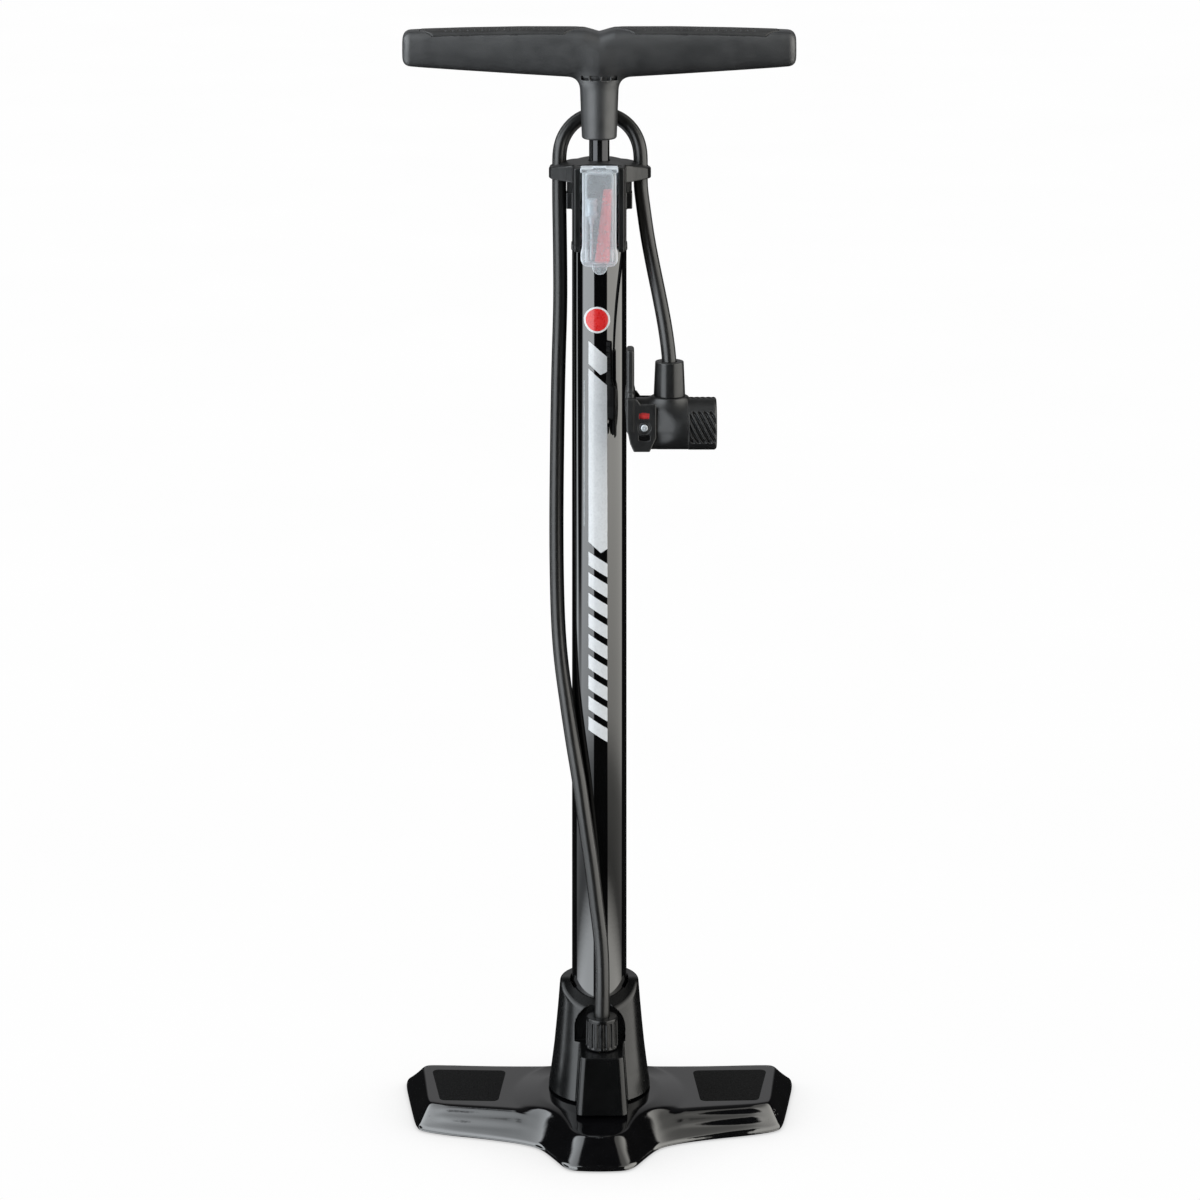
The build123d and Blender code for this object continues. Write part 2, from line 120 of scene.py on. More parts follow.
def poly2(u, v, pts):
    """Signed distance to a closed polygon in the plane, negative inside."""
    pts = np.asarray(pts, float)
    d = np.full(u.shape, 1e18)
    inside = np.zeros(u.shape, bool)
    for i in range(len(pts)):
        ax, ay = pts[i - 1]
        bx, by = pts[i]
        ex, ey = bx - ax, by - ay
        wx, wy = u - ax, v - ay
        t = np.clip((wx * ex + wy * ey) / max(ex * ex + ey * ey, 1e-12), 0, 1)
        d = np.minimum(d, (wx - t * ex) ** 2 + (wy - t * ey) ** 2)
        cross = ((ay > v) != (by > v)) & (u < (bx - ax) * (v - ay) / (by - ay + 1e-18) + ax)
        inside ^= cross
    d = np.sqrt(d)
    return np.where(inside, -d, d)


def mesh_from(name, verts, faces, normals=None, smooth=True):
    me = bpy.data.meshes.new(name)
    verts = np.asarray(verts, np.float32)
    faces = np.asarray(faces, np.int32)
    me.vertices.add(len(verts))
    me.vertices.foreach_set("co", verts.ravel())
    n, k = faces.shape
    me.loops.add(n * k)
    me.loops.foreach_set("vertex_index", faces.ravel())
    me.polygons.add(n)
    me.polygons.foreach_set("loop_start", np.arange(0, n * k, k, dtype=np.int32))
    me.polygons.foreach_set("loop_total", np.full(n, k, np.int32))
    me.update(calc_edges=True)
    me.validate()
    me.polygons.foreach_set("use_smooth", np.full(len(me.polygons), smooth))
    if normals is not None and len(me.vertices) == len(verts):
        me.normals_split_custom_set_from_vertices(np.asarray(normals, float))
    o = bpy.data.objects.new(name, me)
    bpy.context.scene.collection.objects.link(o)
    return o


EDGES = np.array([(0, 1), (2, 3), (4, 5), (6, 7), (0, 2), (1, 3), (4, 6), (5, 7), (0, 4), (1, 5), (2, 6), (3, 7)])
CORNER = np.array([(i & 1, (i >> 1) & 1, (i >> 2) & 1) for i in range(8)], float)


def sdf_mesh(name, f, lo, hi, h, steps=3):
    """Surface-nets mesh of f = 0 over the box, vertices pulled onto the surface."""
    lo, hi = np.array(lo, float) - 1.5 * h, np.array(hi, float) + 1.5 * h
    n = np.ceil((hi - lo) / h).astype(int) + 1
    ax = [lo[i] + h * np.arange(n[i]) for i in range(3)]
    g = np.empty(n, np.float32)
    slab = max(1, int(900000 / (n[1] * n[2])))
    for i in range(0, n[0], slab):
        X, Y, Z = np.meshgrid(ax[0][i:i + slab], ax[1], ax[2], indexing="ij")
        g[i:i + slab] = f((X, Y, Z))
    neg = g < 0
    cells = np.zeros(n - 1, np.int8)
    for c in range(8):
        a, b, d = c & 1, (c >> 1) & 1, (c >> 2) & 1
        cells += neg[a:n[0] - 1 + a, b:n[1] - 1 + b, d:n[2] - 1 + d]
    active = (cells > 0) & (cells < 8)
    idx = np.argwhere(active)
    index = np.full(n - 1, -1, np.int64)
    index[active] = np.arange(len(idx))
    vals = np.stack([g[idx[:, 0] + int(c[0]), idx[:, 1] + int(c[1]), idx[:, 2] + int(c[2])] for c in CORNER], 1).astype(float)
    a, b = vals[:, EDGES[:, 0]], vals[:, EDGES[:, 1]]
    cut = (a < 0) != (b < 0)
    t = np.where(cut, a / np.where(cut, a - b, 1), 0)
    pos = CORNER[EDGES[:, 0]][None] + t[..., None] * (CORNER[EDGES[:, 1]] - CORNER[EDGES[:, 0]])[None]
    local = (pos * cut[..., None]).sum(1) / cut.sum(1)[:, None]
    verts = lo + h * (idx + local)
    base = verts.copy()
    quads = []
    for axis in range(3):
        u, v = (axis + 1) % 3, (axis + 2) % 3
        s0 = [slice(None)] * 3
        s1 = [slice(None)] * 3
        s0[axis] = slice(0, n[axis] - 1)
        s1[axis] = slice(1, n[axis])
        change = neg[tuple(s0)] != neg[tuple(s1)]
        e = np.argwhere(change)
        ok = (e[:, u] > 0) & (e[:, v] > 0) & (e[:, u] < n[u] - 1) & (e[:, v] < n[v] - 1)
        e = e[ok]
        first = neg[tuple(e.T)]

        def at(du, dv):
            q = e.copy()
            q[:, u] -= du
            q[:, v] -= dv
            return index[tuple(q.T)]

        quad = np.stack([at(1, 1), at(0, 1), at(0, 0), at(1, 0)], 1)
        quad[~first] = quad[~first][:, ::-1]
        quads.append(quad)
    faces = np.concatenate(quads)

    def grad(P, e=0.05):
        out = []
        for k in range(3):
            hi_, lo_ = [P[:, 0], P[:, 1], P[:, 2]], [P[:, 0], P[:, 1], P[:, 2]]
            hi_[k] = hi_[k] + e
            lo_[k] = lo_[k] - e
            out.append((f(tuple(hi_)) - f(tuple(lo_))) / (2 * e))
        return np.stack(out, 1)

    for _ in range(steps):
        val = f((verts[:, 0], verts[:, 1], verts[:, 2]))
        gr = grad(verts)
        move = -(val / np.maximum((gr ** 2).sum(1), 0.05))[:, None] * gr
        size = np.linalg.norm(move, axis=1)
        move *= np.minimum(1, 0.6 * h / np.maximum(size, 1e-9))[:, None]
        verts = verts + move
    off = verts - base
    dist = np.linalg.norm(off, axis=1)
    verts = base + off * np.minimum(1, 0.9 * h / np.maximum(dist, 1e-9))[:, None]
    gr = grad(verts, 0.12)
    nrm = gr / np.maximum(np.linalg.norm(gr, axis=1), 1e-9)[:, None]
    return mesh_from(name, verts * S, faces, nrm)


def lathe(name, profile, axis="z", centre=(0, 0), count=96, closed=True):
    """Turns a closed (radius, height) outline round an axis. Corners stay as the outline draws them."""
    prof = np.asarray(profile, float)
    th = np.linspace(0, 2 * np.pi, count, endpoint=False)
    v = []
    for r, z in prof:
        ring = np.stack([r * np.cos(th), r * np.sin(th), np.full(count, z)], 1)
        v.append(ring)
    v = np.concatenate(v)
    if axis == "x":
        v = np.stack([v[:, 2], v[:, 0], v[:, 1]], 1)
        v[:, 1] += centre[0]
        v[:, 2] += centre[1]
    elif axis == "y":
        v = np.stack([v[:, 1], v[:, 2], v[:, 0]], 1)
        v[:, 0] += centre[0]
        v[:, 2] += centre[1]
    else:
        v[:, 0] += centre[0]
        v[:, 1] += centre[1]
    m = len(prof)
    faces = []
    for i in range(m if closed else m - 1):
        j = (i + 1) % m
        a = i * count + np.arange(count)
        b = i * count + (np.arange(count) + 1) % count
        c = j * count + (np.arange(count) + 1) % count
        d = j * count + np.arange(count)
        faces.append(np.stack([a, b, c, d], 1))
    return mesh_from(name, v * S, np.concatenate(faces)[:, ::-1])


def round_outline(pts, r, seg=4):
    """Rounds each corner of a closed outline of (radius, height) points with radius r."""
    pts = [np.array(p, float) for p in pts]
    out = []
    for i in range(len(pts)):
        a, b, c = pts[i - 1], pts[i], pts[(i + 1) % len(pts)]
        u, v = a - b, c - b
        lu, lv = np.linalg.norm(u), np.linalg.norm(v)
        d = min(r, lu * 0.45, lv * 0.45)
        p0, p1 = b + u / lu * d, b + v / lv * d
        for s in range(seg + 1):
            t = s / seg
            out.append((1 - t) ** 2 * p0 + 2 * t * (1 - t) * b + t * t * p1)
    return out


def sharpen(o, angle=35):
    """Keeps corners above the angle crisp in the shading."""
    me = o.data
    me.polygons.foreach_set("use_smooth", np.ones(len(me.polygons), bool))
    bpy.context.view_layer.objects.active = o
    for other in bpy.context.selected_objects:
        other.select_set(False)
    o.select_set(True)
    try:
        bpy.ops.object.shade_smooth_by_angle(angle=math.radians(angle))
    except Exception:
        pass
    o.select_set(False)
    return o


# ==================================================================== materials
def new_mat(name):
    m = bpy.data.materials.new(name)
    m.use_nodes = True
    nt = m.node_tree
    bsdf = nt.nodes["Principled BSDF"]
    return m, nt, bsdf


def node(nt, kind, **inputs):
    n = nt.nodes.new(kind)
    for k, v in inputs.items():
        key = k.replace("_", " ")
        if key in n.inputs:
            n.inputs[key].default_value = v
        else:
            setattr(n, k, v)
    return n


def coords(nt, scale=(1, 1, 1)):
    tc = nt.nodes.new("ShaderNodeTexCoord")
    mp = nt.nodes.new("ShaderNodeMapping")
    mp.inputs["Scale"].default_value = scale
    nt.links.new(tc.outputs["Object"], mp.inputs["Vector"])
    return mp.outputs["Vector"]


def noise(nt, vec, scale, detail=4.0, rough=0.55, distortion=0.0):
    n = nt.nodes.new("ShaderNodeTexNoise")
    n.inputs["Scale"].default_value = scale
    n.inputs["Detail"].default_value = detail
    n.inputs["Roughness"].default_value = rough
    n.inputs["Distortion"].default_value = distortion
    nt.links.new(vec, n.inputs["Vector"])
    return n.outputs["Fac"]


def ramp(nt, fac, stops):
    r = nt.nodes.new("ShaderNodeValToRGB")
    el = r.color_ramp.elements
    el[0].position, el[0].color = stops[0][0], (*stops[0][1], 1)
    el[1].position, el[1].color = stops[-1][0], (*stops[-1][1], 1)
    for p, c in stops[1:-1]:
        e = el.new(p)
        e.color = (*c, 1)
    nt.links.new(fac, r.inputs["Fac"])
    return r.outputs["Color"]


def maprange(nt, fac, a, b, c, d, clamp=True):
    m = nt.nodes.new("ShaderNodeMapRange")
    m.inputs["From Min"].default_value = a
    m.inputs["From Max"].default_value = b
    m.inputs["To Min"].default_value = c
    m.inputs["To Max"].default_value = d
    m.clamp = clamp
    nt.links.new(fac, m.inputs["Value"])
    return m.outputs["Result"]


def mixc(nt, fac, a, b):
    m = nt.nodes.new("ShaderNodeMix")
    m.data_type = "RGBA"
    for sock, val in (("Factor", fac), ("A", a), ("B", b)):
        i = [s for s in m.inputs if s.name == sock and (s.type == "RGBA" or sock == "Factor") and s.enabled][0]
        if hasattr(val, "links") or isinstance(val, bpy.types.NodeSocket):
            nt.links.new(val, i)
        else:
            i.default_value = (*val, 1) if sock != "Factor" and len(val) == 3 else val
    return [s for s in m.outputs if s.type == "RGBA"][0]


def mathn(nt, op, a, b=None):
    m = nt.nodes.new("ShaderNodeMath")
    m.operation = op
    for i, v in enumerate((a, b)):
        if v is None:
            continue
        if isinstance(v, bpy.types.NodeSocket):
            nt.links.new(v, m.inputs[i])
        else:
            m.inputs[i].default_value = v
    return m.outputs["Value"]


def bump(nt, height, strength, distance, normal=None):
    b = nt.nodes.new("ShaderNodeBump")
    b.inputs["Strength"].default_value = strength
    b.inputs["Distance"].default_value = distance
    nt.links.new(height, b.inputs["Height"])
    if normal is not None:
        nt.links.new(normal, b.inputs["Normal"])
    return b.outputs["Normal"]


def surface(name, dark, light, rough=(0.4, 0.5), metallic=0.0, grain=2500.0, grain_h=0.00002, broad=60.0,
            scuff=0.25, edge=0.12, edge_color=(0.2, 0.2, 0.2), coat=0.0, coat_rough=0.05, stretch=(1, 1, 1),
            waves=0.0, ior=1.5, dust=0.0, spec=0.5):
    """A moulded, painted or turned surface: broad colour drift, fine grain, scuffs, worn edges."""
    m, nt, b = new_mat(name)
    v = coords(nt, stretch)
    drift = noise(nt, v, broad, 5)
    col = ramp(nt, drift, [(0.3, dark), (0.72, light)])
    geo = nt.nodes.new("ShaderNodeNewGeometry")
    wear = maprange(nt, geo.outputs["Pointiness"], 0.505, 0.56, 0, 1)
    broken = maprange(nt, noise(nt, v, 300, 6, 0.7), 0.35, 0.7, 0.25, 1)
    wear = mathn(nt, "MULTIPLY", mathn(nt, "MULTIPLY", wear, broken), edge)
    col = mixc(nt, wear, col, edge_color)
    # scuffs: thin stretched noise, thresholded
    sv = coords(nt, (180, 900, 260))
    sc = maprange(nt, noise(nt, sv, 1.0, 8, 0.62, 0.6), 0.66, 0.8, 0, 1)
    sc = mathn(nt, "MULTIPLY", sc, scuff)
    col = mixc(nt, mathn(nt, "MULTIPLY", sc, 0.35), col, tuple(min(1, c * 2.6 + 0.03) for c in light))
    if dust:
        up = nt.nodes.new("ShaderNodeSeparateXYZ")
        nt.links.new(geo.outputs["Normal"], up.inputs[0])
        du = mathn(nt, "MULTIPLY", maprange(nt, up.outputs["Z"], 0.6, 1, 0, dust),
                   maprange(nt, noise(nt, v, 140, 6), 0.4, 0.7, 0.2, 1))
        col = mixc(nt, du, col, (0.35, 0.34, 0.32))
    nt.links.new(col, b.inputs["Base Color"])
    fine = noise(nt, v, grain, 3, 0.5)
    mid = noise(nt, v, grain / 9, 4, 0.55)
    r = maprange(nt, mathn(nt, "ADD", mathn(nt, "MULTIPLY", mid, 0.6), mathn(nt, "MULTIPLY", drift, 0.4)), 0.35, 0.65,
                 rough[0], rough[1])
    r = mathn(nt, "ADD", r, mathn(nt, "MULTIPLY", sc, 0.18))
    nt.links.new(r, b.inputs["Roughness"])
    nrm = bump(nt, fine, 1.0, grain_h)
    if waves:
        nrm = bump(nt, noise(nt, v, 420, 2, 0.4), 1.0, waves, nrm)
    nt.links.new(nrm, b.inputs["Normal"])
    b.inputs["Metallic"].default_value = metallic
    b.inputs["IOR"].default_value = ior
    b.inputs["Specular IOR Level"].default_value = spec
    if coat:
        b.inputs["Coat Weight"].default_value = coat
        b.inputs["Coat Roughness"].default_value = coat_rough
    return m


MAT = {}
MAT["steel_black"] = surface("enamel_black_base", (0.0012, 0.0012, 0.0014), (0.0024, 0.0024, 0.0028), (0.04, 0.09), grain=1800,
                             grain_h=0.000003, scuff=0.12, edge=0.10, edge_color=(0.06, 0.06, 0.06), waves=0.000010, spec=0.95)
MAT["barrel_black"] = surface("enamel_black_barrel", (0.0008, 0.0008, 0.0009), (0.0015, 0.0015, 0.0017), (0.02, 0.05), grain=1500,
                              grain_h=0.000001, scuff=0.05, edge=0.0, waves=0.000003, spec=0.95)
MAT["steel_dark"] = surface("blackened_steel", (0.030, 0.030, 0.032), (0.050, 0.050, 0.052), (0.10, 0.18), metallic=0.9, grain=3500,
                            grain_h=0.000003, stretch=(1, 1, 0.05), scuff=0.3, edge=0.1, edge_color=(0.3, 0.3, 0.3))
MAT["plastic_black"] = surface("moulded_black", (0.0040, 0.0042, 0.0044), (0.0072, 0.0075, 0.0078), (0.30, 0.40), grain=2600,
                               grain_h=0.00003, scuff=0.45, edge=0.14, edge_color=(0.09, 0.09, 0.09), dust=0.02)
MAT["plastic_dark"] = surface("moulded_charcoal", (0.007, 0.0072, 0.0075), (0.012, 0.0122, 0.0126), (0.33, 0.44), grain=2200,
                              grain_h=0.00004, scuff=0.6, edge=0.14, edge_color=(0.11, 0.11, 0.11), dust=0.02)
MAT["grip_soft"] = surface("soft_grip", (0.009, 0.009, 0.0095), (0.016, 0.016, 0.0165), (0.48, 0.6), grain=1700,
                           grain_h=0.00005, scuff=0.4, edge=0.10, edge_color=(0.08, 0.08, 0.08), dust=0.03)
MAT["hose_rubber"] = surface("hose_rubber", (0.006, 0.006, 0.006), (0.011, 0.011, 0.0105), (0.27, 0.36), grain=3000,
                             grain_h=0.00002, scuff=0.5, edge=0.0, stretch=(1, 1, 0.4))
MAT["seal_rubber"] = surface("seal_rubber", (0.012, 0.012, 0.012), (0.022, 0.022, 0.022), (0.55, 0.7), grain=3000,
                             grain_h=0.00003)
MAT["steel_bright"] = surface("polished_steel", (0.42, 0.42, 0.43), (0.60, 0.60, 0.61), (0.10, 0.2), metallic=1.0, grain=3500,
                              grain_h=0.000003, stretch=(1, 1, 0.05), scuff=0.3, edge=0.1, edge_color=(0.8, 0.8, 0.8))
MAT["steel_zinc"] = surface("zinc_plated", (0.38, 0.38, 0.36), (0.55, 0.55, 0.52), (0.28, 0.42), metallic=1.0, grain=1200,
                            grain_h=0.00001)
MAT["brass"] = surface("turned_brass", (0.55, 0.38, 0.14), (0.75, 0.56, 0.25), (0.2, 0.34), metallic=1.0, grain=1800,
                       grain_h=0.00001, stretch=(1, 1, 6))
MAT["acetal"] = surface("natural_acetal", (0.62, 0.61, 0.56), (0.78, 0.77, 0.72), (0.3, 0.42), grain=1500, grain_h=0.00001)
MAT["red_plastic"] = surface("moulded_red", (0.80, 0.030, 0.035), (0.92, 0.060, 0.060), (0.28, 0.4), grain=2200,
                             grain_h=0.00002, scuff=0.2, edge=0.15, edge_color=(0.85, 0.2, 0.18))


def tread_mat():
    m, nt, b = new_mat("grit_tape")
    v = coords(nt)
    grit = nt.nodes.new("ShaderNodeTexVoronoi")
    grit.inputs["Scale"].default_value = 1500
    nt.links.new(v, grit.inputs["Vector"])
    size = noise(nt, v, 700, 5, 0.7)
    h = mathn(nt, "MULTIPLY", maprange(nt, grit.outputs["Distance"], 0.0, 0.75, 1, 0), size)
    col = ramp(nt, h, [(0.1, (0.0015, 0.0015, 0.0015)), (0.45, (0.004, 0.004, 0.004)), (0.75, (0.022, 0.022, 0.022))])
    nt.links.new(col, b.inputs["Base Color"])
    nt.links.new(maprange(nt, size, 0.3, 0.7, 0.55, 0.9), b.inputs["Roughness"])
    nt.links.new(bump(nt, h, 1.0, 0.00035), b.inputs["Normal"])
    b.inputs["Specular IOR Level"].default_value = 0.16
    return m


MAT["tread"] = tread_mat()
MAT["boot_black"] = surface("boot_satin", (0.0016, 0.0017, 0.0018), (0.0034, 0.0036, 0.0038), (0.22, 0.28), grain=2600,
                            grain_h=0.000006, scuff=0.10, edge=0.04, edge_color=(0.03, 0.03, 0.03), spec=0.38)
MAT["handle_grey"] = surface("handle_grain", (0.017, 0.0178, 0.019), (0.027, 0.028, 0.0295), (0.38, 0.50), grain=1500,
                             grain_h=0.00005, scuff=0.9, edge=0.12, edge_color=(0.12, 0.12, 0.12), spec=0.8)


def clear_mat():
    """Thin frosted clear plastic: mostly see-through, milky at grazing angles and edges."""
    m = bpy.data.materials.new("frosted_clear")
    m.use_nodes = True
    nt = m.node_tree
    nt.nodes.clear()
    out = nt.nodes.new("ShaderNodeOutputMaterial")
    b = nt.nodes.new("ShaderNodeBsdfPrincipled")
    tr = nt.nodes.new("ShaderNodeBsdfTransparent")
    mix = nt.nodes.new("ShaderNodeMixShader")
    v = coords(nt)
    lw = nt.nodes.new("ShaderNodeLayerWeight")
    lw.inputs["Blend"].default_value = 0.35
    haze = noise(nt, v, 220, 5, 0.6)
    fac = mathn(nt, "ADD", maprange(nt, lw.outputs["Facing"], 0.03, 0.6, 0.20, 0.95), mathn(nt, "MULTIPLY", haze, 0.10))
    b.inputs["Base Color"].default_value = (0.90, 0.95, 1.0, 1)
    nt.links.new(maprange(nt, haze, 0.3, 0.7, 0.12, 0.3), b.inputs["Roughness"])
    nt.links.new(bump(nt, noise(nt, v, 1500, 3), 1.0, 0.00001), b.inputs["Normal"])
    tr.inputs["Color"].default_value = (0.93, 0.95, 0.96, 1)
    nt.links.new(fac, mix.inputs["Fac"])
    nt.links.new(tr.outputs[0], mix.inputs[1])
    milk = nt.nodes.new("ShaderNodeBsdfTranslucent")
    milk.inputs["Color"].default_value = (0.90, 0.94, 0.98, 1)
    half = nt.nodes.new("ShaderNodeMixShader")
    half.inputs["Fac"].default_value = 0.25
    nt.links.new(b.outputs[0], half.inputs[1])
    nt.links.new(milk.outputs[0], half.inputs[2])
    nt.links.new(half.outputs[0], mix.inputs[2])
    nt.links.new(mix.outputs[0], out.inputs["Surface"])
    return m


MAT["clear_plastic"] = clear_mat()
# near-black and rough: painted shade for the inside of the lever's slot
MAT["slot_painted_shade"] = surface("slot_painted_shade", (0.0008, 0.0008, 0.0008), (0.0016, 0.0016, 0.0016), (0.6, 0.75), grain=1500,
                               grain_h=0.00003, scuff=0.1, edge=0.0, spec=0.12)
MAT["pin_face"] = surface("zinc_pin", (0.50, 0.53, 0.56), (0.66, 0.70, 0.73), (0.42, 0.55), metallic=0.75, grain=1500,
                          grain_h=0.000006, scuff=0.3, edge=0.1, edge_color=(0.8, 0.8, 0.8))


def ink_mat(name, a, b_, rough=0.3):
    m, nt, b = new_mat(name)
    v = coords(nt)
    nt.links.new(ramp(nt, noise(nt, v, 350, 6, 0.65), [(0.35, a), (0.65, b_)]), b.inputs["Base Color"])
    chip = maprange(nt, noise(nt, v, 900, 4, 0.6), 0.4, 0.65, rough - 0.06, rough + 0.1)
    nt.links.new(chip, b.inputs["Roughness"])
    nt.links.new(bump(nt, noise(nt, v, 2400, 3), 1.0, 0.000006), b.inputs["Normal"])
    b.inputs["Coat Weight"].default_value = 0.4
    return m


INK_WHITE = ink_mat("print_white", (0.56, 0.575, 0.59), (0.60, 0.615, 0.63))
INK_RED = ink_mat("print_red", (0.50, 0.008, 0.010), (0.60, 0.015, 0.015))
INK_GREY = ink_mat("print_grey", (0.16, 0.17, 0.175), (0.22, 0.23, 0.235))


def put(o, mat, body, slot, *nodes):
    o.data.materials.clear()
    o.data.materials.append(MAT[mat] if isinstance(mat, str) else mat)
    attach(o, body)
    if nodes:
        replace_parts(o, *nodes)
    return o


# ==================================================================== dimensions
SLOT = {s["node"]: s["material_slot"] for s in frame["record"]["subparts"]}
HY, HZ = -30.0, 410.5
NX = 40.6
PX, PZ = 25.9, 410.5
PORT_X, PORT_Y = 1.5, -31.0
CLIP_L, CLIP_R, CLIP_Y, PIV_Z = -23.6, 24.4, 10.0, 542.0
HOSE_R = 4.2

# ======================================================================== handle
HX = [0, 14, 45, 80, 104, 112, 118]
TOPZ = [636.3, 636.6, 636.7, 636.1, 635.4, 635.0, 634.7]
BOTZ = [607.0, 607.6, 609.4, 611.6, 613.2, 613.9, 614.3]
HALF = [17.0, 16.5, 15.2, 13.8, 12.6, 12.0, 11.6]


def smooth_interp(x, xs, ys):
    """Interpolation with eased knots, so that no crease runs across the surface."""
    e = 3.0
    return (np.interp(x - e, xs, ys) + 2 * np.interp(x, xs, ys) + np.interp(x + e, xs, ys)) / 4


def bar_f(p):
    ax = np.abs(p[0])
    top = smooth_interp(ax, HX, TOPZ) - 2.5 * np.clip(1 - np.sqrt(ax * ax + 0.6) / 9.6, 0, 1) ** 1.25
    bot = smooth_interp(ax, HX, BOTZ)
    b = smooth_interp(ax, HX, HALF)
    c, a = (top + bot) / 2 + 1.0, (top - bot) / 2
    z = p[2] - (top + bot) / 2
    y = p[1]
    # fuller above, tucked in below
    tuck = 1 - 0.10 * np.clip(-z / a, 0, 1.2) ** 1.5
    q = (np.abs(y / (b * tuck)) ** 3.1 + np.abs(z / a) ** 3.1 + 1e-9) ** (1 / 3.1)
    d = (q - 1) * np.minimum(a, b)
    return smax(d, ax - 115.4, 5.0)


def stem_f(p):
    r = np.hypot(p[0], p[1])
    return cone_like(r, p[2], 10.25, 12.3, 571.2, 625.0, 1.6)


PLAN = [(8.5, 0), (21, -11.2), (97, -9.6), (104, -4), (104, 4), (97, 9.6), (21, 11.2)]


def pad_plan(p, grow=0.0):
    return poly2(np.abs(p[0]), p[1], PLAN) - 1.2 - grow


def handle_core(p):
    d = smin(bar_f(p), stem_f(p), 8.0)
    # shadow groove under the bar, crossed by three small webs
    r = np.hypot(p[0], p[1])
    th = np.arctan2(p[0], -p[1])
    web = np.minimum(np.minimum(np.abs(th + 0.45), np.abs(th - 0.08)), np.abs(th - 0.52)) * 12.0 - 0.4
    ring = np.abs(p[2] - 607.9) - 1.3
    front = np.maximum(np.abs(p[0]) - 10.4, p[1] + 4.0)
    shell = np.maximum(np.maximum(ring, front), -(d + 1.3))
    return smax(d, -smax(shell, -web, 0.3), 0.4)


def handle_f(p):
    d = handle_core(p)
    bf = bar_f(p)
    recess = np.maximum(np.maximum(pad_plan(p, 0.35), -(bf + 1.5)), 622 - p[2])
    d = smax(d, -recess, 0.5)
    d = smax(d, -cone_like(np.hypot(p[0], p[1]), p[2], 6.15, 6.15, 555, 582, 0.1), 0.5)
    return d


dots = []
for row, yy in enumerate((-7.6, -3.8, 0.0, 3.8, 7.6)):
    for i in range(19):
        xx = 17.5 + 4.3 * i + (2.15 if row % 2 else 0)
        if poly2(np.array([xx]), np.array([yy]), PLAN)[0] < -1.6 and xx < 92:
            dots.append((xx, yy))
dots = np.array(dots)


def dimples(p):
    """Distance to the nearest dimple centre line, in plan."""
    ax, y = np.abs(p[0]), p[1]
    best = np.full(ax.shape, 1e9)
    for row, yy in enumerate((-7.6, -3.8, 0.0, 3.8, 7.6)):
        off = 2.15 if row % 2 else 0.0
        i = np.clip(np.round((ax - 17.5 - off) / 4.3), 0, 17)
        cx = 17.5 + off + 4.3 * i
        edge = poly2(cx, np.full_like(cx, yy), PLAN) > -1.6 if False else (cx - 8.5) * 11.2 / 12.5 < np.abs(yy) + 2.0
        d = np.hypot(ax - cx, y - yy)
        best = np.minimum(best, np.where(edge | (cx > 96), 1e9, d))
    return best


def pad_f(sign):
    def f(p):
        bf = bar_f(p)
        ring = np.sqrt(np.minimum(dimples(p), 50.0) ** 2 + (bf - 0.55) ** 2) - 1.15
        d = smax(bf - 0.12, pad_plan(p), 0.7)
        d = np.maximum(d, -(bf + 1.3))
        d = np.maximum(d, 622 - p[2])
        d = smax(d, -ring, 0.25)
        return np.maximum(d, 4 - sign * p[0])
    return f


o = sdf_mesh("handle_shell", handle_f, (-115.6, -18, 571), (115.6, 18, 637), 0.62)
put(o, "handle_grey", "rod_group", "plastic_dark", "handle")
for side, sg in (("left", -1), ("right", 1)):
    x0, x1 = sorted((sg * 6, sg * 107))
    o = sdf_mesh("grip_" + side, pad_f(sg), (x0, -13.5, 629), (x1, 13.5, 637.2), 0.42)
    put(o, "grip_soft", "rod_group", "grip_soft", "grip_pad_" + side)

# =================================================================== piston rod
o = lathe("rod_blackened", round_outline([(0.01, 31.4), (4, 31.4), (4, 53.02), (6, 53.02), (6, 600), (0.01, 600)], 0.6), count=72)
put(o, "steel_dark", "rod_group", SLOT.get("piston_rod", "steel_bright"), "piston_rod")

# ======================================================================= barrel
o = lathe("barrel_tube", round_outline([(14.5, 30), (16, 30), (16, 548), (14.5, 548)], 0.4, 3), count=160)
put(o, "barrel_black", "frame", "barrel_black", "barrel")


